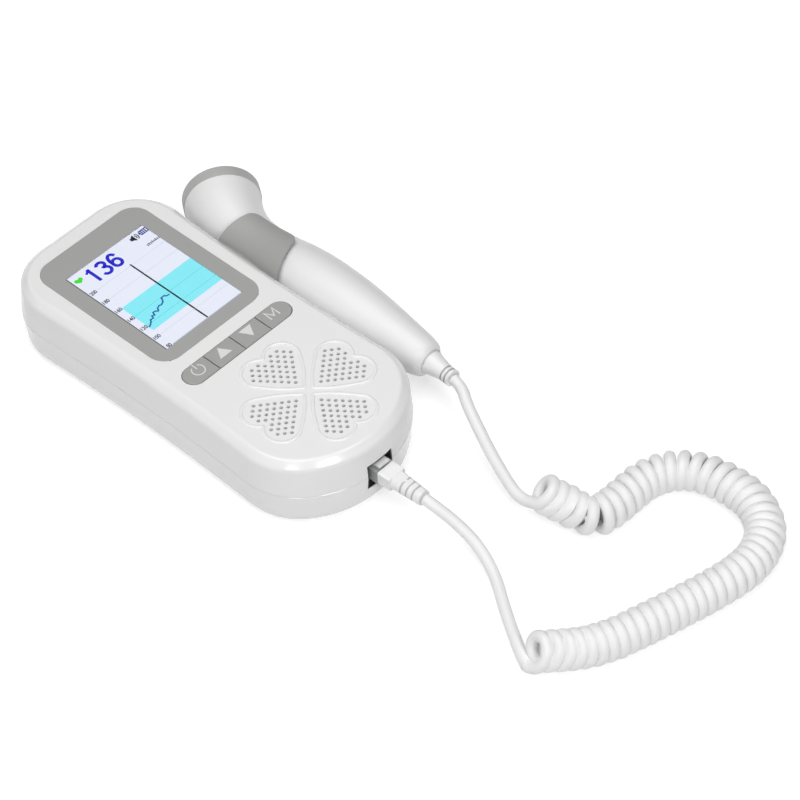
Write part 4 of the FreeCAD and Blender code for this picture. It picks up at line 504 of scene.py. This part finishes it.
# ---------------------------------------------------------------- inside the casing
# What a buyer sees through the grille, or with the battery door off: cloth, speaker, board,
# cells and their contacts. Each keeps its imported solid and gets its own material.
INSIDE = {    # as colour, settings, grain and its relief in millimetres, solids
    "acoustic_cloth": ("2A2A2A", {"Roughness": 0.95}, 0.5, 0.03, ("dust_cloth",)),
    "gasket_foam": ("222222", {"Roughness": 0.9}, 0.4, 0.03, ("speaker_gasket",)),
    "cone_paper": ("333230", {"Roughness": 0.85}, 0.6, 0.03, ("speaker_cone",)),
    "ferrite": ("3A3A3C", {"Roughness": 0.6}, 0.5, 0.01, ("speaker_magnet",)),
    "zinc_plate": ("C8C8CC", {"Metallic": 1.0, "Roughness": 0.33}, 0.8, 0.004,
                   ("speaker_basket", "battery_springs", "battery_plates", "board_screws", "case_screws",
                    "clip_screws", "probe_screws")),
    "solder_mask": ("0F5A33", {"Roughness": 0.35, "Coat Weight": 0.4}, 1.6, 0.01,
                    ("main_board", "probe_board")),
    "package_epoxy": ("1E1E20", {"Roughness": 0.6}, 0.3, 0.004, ("board_chips", "key_switches")),
    "panel_glass": ("15171C", {"Roughness": 0.2}, 9.0, 0.004, ("lcd_panel",)),
    "panel_frame": ("E2E2E0", {"Roughness": 0.6}, 0.6, 0.004, ("lcd_frame",)),
    "polyimide": ("C98A2C", {"Roughness": 0.4}, 2.0, 0.01, ("lcd_ribbon",)),
    "silicone": ("C9C9C4", {"Roughness": 0.7}, 0.7, 0.006, ("key_mat",)),
    "jack_plastic": ("1B1B1C", {"Roughness": 0.38}, 0.5, 0.004, ("headphone_jack", "probe_jack")),
    "gilt": ("E0B45A", {"Metallic": 1.0, "Roughness": 0.25}, 0.5, 0.002, ("jack_contacts", "plug_contacts")),
    "piezo_silver": ("D9D5CA", {"Metallic": 0.6, "Roughness": 0.45}, 0.4, 0.003, ("crystals",)),
    "loaded_epoxy": ("2A2A2C", {"Roughness": 0.75}, 0.6, 0.01, ("crystal_backing",)),
}
for name, (code, settings, grain, relief, nodes) in INSIDE.items():
    finish = surface(name, code, settings, grain_mm=grain, grain_relief_mm=relief)
    for node in nodes:
        give_finish(node, finish)

# the cells' printed sleeve is slate, with a copper band at the upper end
SLEEVE_SLATE = "2B303B"
SLEEVE_COPPER = "B27B45"
COPPER_BAND = 14
wrap = surface("cell_wrap", SLEEVE_SLATE, {"Roughness": 0.28}, waves_mm=5.0, relief_mm=0.02)
band_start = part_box("battery_left")[1][1] - COPPER_BAND * MM
place = add_node(wrap, "ShaderNodeTexCoord")
split = add_node(wrap, "ShaderNodeSeparateXYZ", Vector=(place, "Object"))
copper_end = add_node(wrap, "ShaderNodeMath", {"operation": "GREATER_THAN"})
wrap.node_tree.links.new(split.outputs["Y"], copper_end.inputs[0])
copper_end.inputs[1].default_value = band_start
two_tone = add_node(wrap, "ShaderNodeMix", {"data_type": "RGBA"})
wrap.node_tree.links.new(copper_end.outputs[0], two_tone.inputs[0])
two_tone.inputs[6].default_value = paint(SLEEVE_SLATE)
two_tone.inputs[7].default_value = paint(SLEEVE_COPPER)
wrap.node_tree.links.new(two_tone.outputs[2], wrap.node_tree.nodes["Principled BSDF"].inputs["Base Color"])
for node in ("battery_left", "battery_right"):
    give_finish(node, wrap)

# ---------------------------------------------------------------- plug
# A clear polycarbonate modular plug with a sprung latch on top, pushed into the black jack, whose
# thin lip lines the opening in the casing's lower end.
clear_plastic = surface("clear_polycarbonate", "F2F4F4",
                        {"Transmission Weight": 0.6, "Roughness": 0.12, "IOR": 1.5},
                        waves_mm=2.5, relief_mm=0.01)
frosted_plastic = surface("frosted_polycarbonate", "F2F4F4",
                          {"Transmission Weight": 0.2, "Roughness": 0.2, "IOR": 1.58},
                          waves_mm=1.5, relief_mm=0.01)
smooth_copy("plug_body", clear_plastic)
smooth_copy("plug_latch", frosted_plastic)


LIP_BESIDE = 0.35   # the casing's face is felt this far outside the jack's edge
LIP_INSET = 0.05    # the lip stays this much inside that face
LIP_GAP = 0.01


def jack_lip(wide, per_side=12):
    """The jack's thin black lip, which lines the opening out to the casing's curved face."""
    low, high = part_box("probe_jack")
    shells = bmesh.new()
    for node in ("front_shell", "rear_shell"):
        shells.from_mesh(frame["nodes"][node].data)
    casing = BVHTree.FromBMesh(shells)
    shells.free()

    def rim(inset):
        """Points (x, z) round the jack's face, a distance in from its edge."""
        x = (low[0] + inset, high[0] - inset)
        z = (low[2] + inset, high[2] - inset)
        corners = np.array([(x[0], z[0]), (x[1], z[0]), (x[1], z[1]), (x[0], z[1])])
        part = np.arange(per_side)[:, None] / per_side
        return np.concatenate([corners[i] * (1 - part) + corners[(i + 1) % 4] * part for i in range(4)])

    feeler_y = low[1] - 20 * MM
    felt = [casing.ray_cast((x, feeler_y, z), (0, 1, 0))[0][1] for x, z in rim(-LIP_BESIDE * MM)]
    front = [y + LIP_INSET * MM for y in felt]
    back = [low[1] - LIP_GAP * MM] * len(front)
    loops = [(rim(0), front), (rim(wide), front), (rim(wide), back), (rim(0), back)]
    verts = [(x, y, z) for edge, depth in loops for (x, z), y in zip(edge.tolist(), depth)]
    mesh = bpy.data.meshes.new("jack_lip")
    mesh.from_pydata(verts, [], loop_quads(len(loops), len(front), closed=True))
    mesh.materials.append(frame["nodes"]["probe_jack"].data.materials[0])
    lip = new_object("jack_lip", mesh)
    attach(lip, "monitor")


jack_lip(0.45 * MM)

# ---------------------------------------------------------------- probe
# Two satin white ABS halves on a seam level with the axis, and a grey cap round the sensing face,
# whose skirt stands proud of them.
probe_abs = surface("probe_abs_satin", "EAEAEB", {"Roughness": 0.36, "IOR": 1.5},
                    waves_mm=9.0, relief_mm=0.012, grain_mm=0.9, grain_relief_mm=0.0012)
smooth_copy("probe_upper_shell", probe_abs)
smooth_copy("probe_lower_shell", probe_abs)
cap_plastic = surface("cap_plastic", "B4B4B3", {"Roughness": 0.42, "IOR": 1.5},
                      waves_mm=12.0, relief_mm=0.01, grain_mm=0.5, grain_relief_mm=0.003)
smooth_copy("probe_cap", cap_plastic)
HEAD_CENTRE = Vector((58.98, 60.686, 14.4))
HEAD_AXIS = Vector((0.585, 0.811, 0.0)).normalized()
# along the axis and out from it: the cap's skirt, drawn down over the shells' shoulder
SKIRT = ((-3.5, 14.404), (-5.25, 14.404), (-5.34, 14.39), (-5.4, 14.34), (-5.41, 14.26), (-5.41, 13.9))


def cap_skirt(segments=192):
    """The grey cap's skirt: a thin ring whose edge stands proud of the white shells."""
    across = HEAD_AXIS.cross(Vector((0.0, 0.0, 1.0)))
    verts = []
    for along, out in SKIRT:
        for step in range(segments):
            angle = 2 * math.pi * step / segments
            ray = across * math.cos(angle) + Vector((0.0, 0.0, math.sin(angle)))
            point = HEAD_CENTRE + HEAD_AXIS * along + ray * out
            point.z = max(point.z, 0.0)
            verts.append(point * MM)
    mesh = bpy.data.meshes.new("cap_skirt")
    mesh.from_pydata(verts, [], loop_quads(len(SKIRT), segments))
    mesh.shade_smooth()
    mesh.set_sharp_from_angle(angle=math.radians(40))
    mesh.materials.append(cap_plastic)
    skirt = new_object("cap_skirt", mesh)
    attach(skirt, "probe")


cap_skirt()
face_plastic = surface("face_plastic", "9B9B99", {"Roughness": 0.3, "IOR": 1.52},
                       waves_mm=10.0, relief_mm=0.01, grain_mm=0.5, grain_relief_mm=0.002)
smooth_copy("probe_face", face_plastic)

# ---------------------------------------------------------------- cord
# White PVC cord, 4.2 mm thick: plain runs to the plug and the probe, and between them a coil wound
# left-handed on a 10 mm ring, which lies on the table but for its first and last rings. The boot
# and the strain relief are of the same PVC, with painted shade in their grooves and on the relief's
# collar, where it meets the shell.
CORD_RADIUS = 2.1
RING_RADIUS = 5.0
POINTS_PER_TURN = 24
JOIN = 5            # the probe's run goes over into the winding at this point of it
TABLE_GAP = 0.05
COIL_STEPS = 12000  # places along the coil where its centre and its rings' facing are read
SPLINE_POINTS = 303000
PROBE_RUN = (
    (47.3, -64.6, 14.4), (46.8, -68.8, 14.0), (42.8, -74.9, 12.4), (38.6, -84.0, 10.4),
    (34.4, -93.0, 8.8), (30.6, -102.2, 7.6), (27.5, -110.3, 6.9), (27.1, -115.4, 6.8),
)
PLUG_RUN = (
    (0.0, -94.7, 15.35), (0.2, -98.5, 14.9), (2.5, -105.5, 10.4), (3.4, -115.0, 5.6),
    (-0.6, -126.5, 2.6), (-8.8, -138.0, 2.15), (-15.8, -148.5, 2.15),
)
# along the coil: turns wound, the centre in plan, the lift off the table, the way a ring faces
COIL_ROUTE = (
    (0.0, 31.3, -117.2, 4.7, -0.49, 0.51, 0.71), (0.4, 31.7, -118.9, 4.4, -0.49, 0.51, 0.71),
    (1.5, 32.9, -123.0, 3.2, -0.49, 0.5, 0.71), (2.5, 34.3, -126.5, 2.0, -0.51, 0.55, 0.66),
    (3.5, 34.8, -131.6, 0.9, -0.6, 0.68, 0.42), (4.6, 36.2, -136.9, 0.1, -0.8, 0.59, 0.13),
    (4.9, 38.3, -138.3, 0.1, -0.93, 0.37, -0.02), (7.0, 46.2, -139.2, 0.1, -1.0, 0.02, 0.0),
    (8.8, 54.2, -138.9, 0.1, -1.0, 0.01, 0.0), (10.6, 61.8, -139.4, 0.1, -0.97, 0.24, 0.0),
    (12.5, 69.3, -142.7, 0.1, -0.81, 0.59, 0.0), (14.3, 74.7, -148.8, 0.1, -0.51, 0.86, 0.0),
    (16.0, 77.5, -156.4, 0.1, -0.21, 0.98, 0.0), (17.8, 78.1, -164.6, 0.1, -0.02, 1.0, 0.0),
    (19.6, 77.7, -171.8, 0.1, 0.27, 0.96, 0.0), (21.5, 73.8, -179.7, 0.1, 0.57, 0.82, 0.0),
    (23.5, 68.8, -184.7, 0.1, 0.82, 0.57, 0.0), (25.5, 61.9, -187.8, 0.1, 0.96, 0.27, 0.0),
    (27.6, 54.4, -188.8, 0.1, 1.0, 0.03, 0.0), (29.7, 46.6, -188.1, 0.1, 0.98, -0.21, 0.0),
    (31.7, 38.8, -186.4, 0.1, 0.96, -0.27, 0.0), (33.8, 31.0, -184.5, 0.1, 0.96, -0.27, 0.0),
    (36.0, 23.2, -182.4, 0.1, 0.96, -0.27, 0.0), (38.1, 15.6, -180.2, 0.1, 0.96, -0.27, 0.0),
    (40.2, 8.0, -178.0, 0.1, 0.96, -0.27, 0.0), (42.4, 0.2, -175.3, 0.1, 0.96, -0.27, -0.01),
    (44.5, -6.9, -171.6, 0.2, 0.94, -0.25, -0.25), (46.7, -13.2, -166.4, 0.7, 0.86, -0.22, -0.47),
    (48.7, -18.9, -160.7, 0.8, 0.85, -0.22, -0.48), (49.0, -19.8, -159.8, 0.0, 0.85, -0.22, -0.48),
)


def spline_points(route, count):
    """Points read at even steps from the NURBS spline whose control points are a route's own."""
    curve = bpy.data.curves.new("route", "CURVE")
    curve.dimensions = "3D"
    spline = curve.splines.new("NURBS")
    spline.points.add(len(route) - 1)
    controls = np.ones((len(route), 4))
    controls[:, :3] = route
    spline.points.foreach_set("co", controls.ravel())
    spline.order_u = 3
    spline.use_endpoint_u = True
    curve.resolution_u = spline.resolution_u = min(1024, SPLINE_POINTS // len(route))
    holder = bpy.data.objects.new("route", curve)
    mesh = bpy.data.meshes.new_from_object(holder)
    flat = np.empty(3 * len(mesh.vertices))
    mesh.vertices.foreach_get("co", flat)
    bpy.data.objects.remove(holder)
    bpy.data.curves.remove(curve)
    bpy.data.meshes.remove(mesh)
    fine = flat.reshape(-1, 3)
    place = np.linspace(0, len(fine) - 1, count)
    return np.stack([np.interp(place, np.arange(len(fine)), fine[:, i]) for i in range(3)], axis=1)


def cord_line(route, step, per_point):
    """Evenly spaced points on a route's spline, which is read at some places for each of its points."""
    points = spline_points(route, per_point * len(route))
    along = np.concatenate(([0], np.cumsum(np.linalg.norm(np.diff(points, axis=0), axis=1))))
    even = np.linspace(0, along[-1], int(along[-1] / step) + 1)
    return np.stack([np.interp(even, along, points[:, i]) for i in range(3)], axis=1)


def coil_points():
    """The cord's centre line round the coil, from the probe's end to the plug's.

    A ring's lowest point is one cord radius above the table, plus its lift."""
    route = np.array(COIL_ROUTE)
    turns = spline_points(route[:, [0, 0, 0]], COIL_STEPS)[:, 0]
    centre = spline_points(route[:, 1:4], COIL_STEPS)
    facing = unit(spline_points(route[:, 4:], COIL_STEPS))
    side = unit(np.stack([-facing[:, 1], facing[:, 0], 0 * turns], axis=1))
    rise = np.cross(facing, side)
    centre[:, 2] += CORD_RADIUS + TABLE_GAP + RING_RADIUS * rise[:, 2]
    angle = 2 * math.pi * turns - math.pi / 2
    points = centre + RING_RADIUS * (side * np.cos(angle)[:, None] + rise * np.sin(angle)[:, None])
    steps = np.arange(round(turns[-1]) * POINTS_PER_TURN + 1) / POINTS_PER_TURN
    return np.stack([np.interp(steps, turns, points[:, i]) for i in range(3)], axis=1)


def round_tube(name, path, radius, sides=20):
    """A closed tube: a circle carried along a path on frames that turn least, capped at both ends."""
    ahead = unit(np.gradient(path, axis=0))
    across = np.empty_like(ahead)
    across[0] = unit(np.cross(ahead[0], (0.0, 0.0, 1.0)))
    for i in range(1, len(path)):
        carried = across[i - 1] - ahead[i] * (across[i - 1] @ ahead[i])
        across[i] = carried / np.linalg.norm(carried)
    third = np.cross(ahead, across)
    angle = np.arange(sides) * 2 * math.pi / sides
    ring = across[:, None] * np.cos(angle)[None, :, None] + third[:, None] * np.sin(angle)[None, :, None]
    verts = (path[:, None] + radius * ring).reshape(-1, 3)
    last = (len(path) - 1) * sides
    caps = [list(range(sides))[::-1], list(range(last, last + sides))]
    mesh = bpy.data.meshes.new(name)
    mesh.from_pydata((verts * MM).tolist(), [], loop_quads(len(path), sides) + caps)
    mesh.shade_smooth()
    return new_object(name, mesh)


# soft PVC from a matt die: satin, with a trace of drawing marks
white_pvc = surface("white_pvc_cord", "EEEEEE", {"Roughness": 0.42, "IOR": 1.53},
                    grain_mm=0.5, grain_relief_mm=0.002)
smooth_copy("plug_boot", white_pvc)
smooth_copy("probe_strain_relief", white_pvc)
# a darker PVC colour used only as painted shade in grooves
painted_groove_shade = surface("painted_groove_shade", "C2C2C2", {"Roughness": 0.6, "IOR": 1.53},
                     grain_mm=0.5, grain_relief_mm=0.002)
FLAT_MARGIN = 0.04
SHADE_LIFT = 0.01


def dusty_faces(name, node, body, start, way, bands, flat=99.0):
    """A piece's own faces inside bands along an axis, copied a hair outwards in a darker colour as
    painted shade.

    A band is (from, to, least reach, most reach); flats at a height off the axis get no painted shade."""
    start, way = Vector(start), Vector(way)
    mesh = frame["nodes"][node].data.copy()
    faces = bmesh.new()
    faces.from_mesh(mesh)
    unshaded = []
    for face in faces.faces:
        offset = face.calc_center_median() / MM - start
        along = offset.dot(way)
        reach = (offset - way * along).length
        inside = any(low < along < high and least < reach < most for low, high, least, most in bands)
        if not inside or abs(abs(offset.z) - flat) < FLAT_MARGIN:
            unshaded.append(face)
    bmesh.ops.delete(faces, geom=unshaded, context="FACES")
    for vert in faces.verts:
        vert.co += vert.normal * SHADE_LIFT * MM
    faces.to_mesh(mesh)
    faces.free()
    mesh.name = name
    mesh.materials.clear()
    mesh.materials.append(painted_groove_shade)
    piece = new_object(name, mesh)
    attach(piece, body)


# painted shade in the boot's three grooves
dusty_faces("boot_groove_shade", "plug_boot", "plug", (0, -94.7, 15.35), (0, 1, 0),
            ((2.5, 3.4, 0, 2.93), (5.0, 5.9, 0, 3.05), (7.5, 8.4, 0, 3.18)), flat=2.75)
# painted shade in the relief's grooves and on its collar at the joint with the shell
dusty_faces("relief_groove_shade", "probe_strain_relief", "probe", (48.1, -53.1, 14.4), (-0.06976, -0.99756, 0),
            ((-0.05, 0.7, 4.58, 5.0), (7.6, 10.2, 0, 3.09)))

winding = coil_points()
upper_path = cord_line([*PROBE_RUN, *winding[JOIN:]], 0.45, per_point=8)
lower_path = cord_line([*PLUG_RUN, *winding[:-4:-1]], 0.8, per_point=40)
upper_cord = round_tube("cord_upper", upper_path, CORD_RADIUS)
upper_cord.data.materials.append(white_pvc)
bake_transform(upper_cord)
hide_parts("cord_coil", "cord_probe_run")
lower_cord = round_tube("cord_lower", lower_path, CORD_RADIUS)
lower_cord.data.materials.append(white_pvc)
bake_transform(lower_cord)
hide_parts("cord_plug_run")

# ---------------------------------------------------------------- table, light and camera
# A white table under plain soft light: a large soft box above, two smaller ones at the left, and a
# sky that is dimmer on the right.
TABLE_GLOW = 0.55    # the table's own light, which only the camera and reflections see
floor_mesh = bpy.data.meshes.new("table")
floor_mesh.from_pydata([(-3, -3, 0), (3, -3, 0), (3, 3, 0), (-3, 3, 0)], [], [(0, 1, 2, 3)])
table = new_object("table", floor_mesh)
paper = bpy.data.materials.new("white_table")
paper.use_nodes = True
shader = paper.node_tree.nodes["Principled BSDF"]
shader.inputs["Base Color"].default_value = paint("D8D8D8")
shader.inputs["Roughness"].default_value = 0.9
shader.inputs["Specular IOR Level"].default_value = 0.0
rays = add_node(paper, "ShaderNodeLightPath")
seen = add_node(paper, "ShaderNodeMath", {"operation": "MAXIMUM"})
paper.node_tree.links.new(rays.outputs["Is Camera Ray"], seen.inputs[0])
paper.node_tree.links.new(rays.outputs["Is Glossy Ray"], seen.inputs[1])
lift = add_node(paper, "ShaderNodeMath", {"operation": "MULTIPLY"})
paper.node_tree.links.new(seen.outputs[0], lift.inputs[0])
lift.inputs[1].default_value = TABLE_GLOW
shader.inputs["Emission Color"].default_value = (1, 1, 1, 1)
paper.node_tree.links.new(lift.outputs[0], shader.inputs["Emission Strength"])
floor_mesh.materials.append(paper)

world = bpy.data.worlds.new("studio")
world.use_nodes = True
bpy.context.scene.world = world
sky = world.node_tree.nodes["Background"]
sky.inputs["Color"].default_value = (1, 1, 1, 1)
outlook = add_node(world, "ShaderNodeTexCoord")
to_dim_side = add_node(world, "ShaderNodeVectorMath", {"operation": "DOT_PRODUCT"},
                       Vector=(outlook, "Generated"))
to_dim_side.inputs[1].default_value = (0.85, -0.5, -0.1)
dimming = {"From Min": -0.3, "From Max": 0.5, "To Min": 0.30, "To Max": 0.0}
strength = add_node(world, "ShaderNodeMapRange", dimming, Value=(to_dim_side, "Value"))
world.node_tree.links.new(strength.outputs["Result"], sky.inputs["Strength"])


def soft_box(name, place, aim, size, watts):
    """A square area light at a place, turned to shine at a point."""
    lamp = bpy.data.lights.new(name, "AREA")
    lamp.shape = "SQUARE"
    lamp.size = size
    lamp.energy = watts
    holder = new_object(name, lamp)
    holder.location = place
    way = np.array(aim, float) - np.array(place, float)
    holder.rotation_euler = Vector(way).to_track_quat("-Z", "Y").to_euler()


soft_box("overhead", (0.0, 0.0, 0.95), (0.0, -0.05, 0.0), 0.9, 5.8)
soft_box("left_lamp", (-0.80, -0.55, 0.80), (0.0, -0.05, 0.0), 0.30, 2.5)
soft_box("near_lamp", (-0.25, -1.0, 0.80), (0.0, -0.05, 0.0), 0.38, 4.4)

lens = bpy.data.cameras.new("camera")
lens.sensor_width = 36.0
lens.lens = 147.24
lens.clip_end = 20.0
camera = new_object("camera", lens)
right = (0.6824, -0.7306, -0.0238)
up = (0.5465, 0.4883, 0.6803)
back = (-0.4854, -0.4773, 0.7325)
turn = Matrix((right, up, back)).transposed()
camera.matrix_world = Matrix.Translation((-0.5144, -0.5907, 0.8326)) @ turn.to_4x4()
bpy.context.scene.camera = camera
bpy.context.scene.view_settings.view_transform = "Standard"
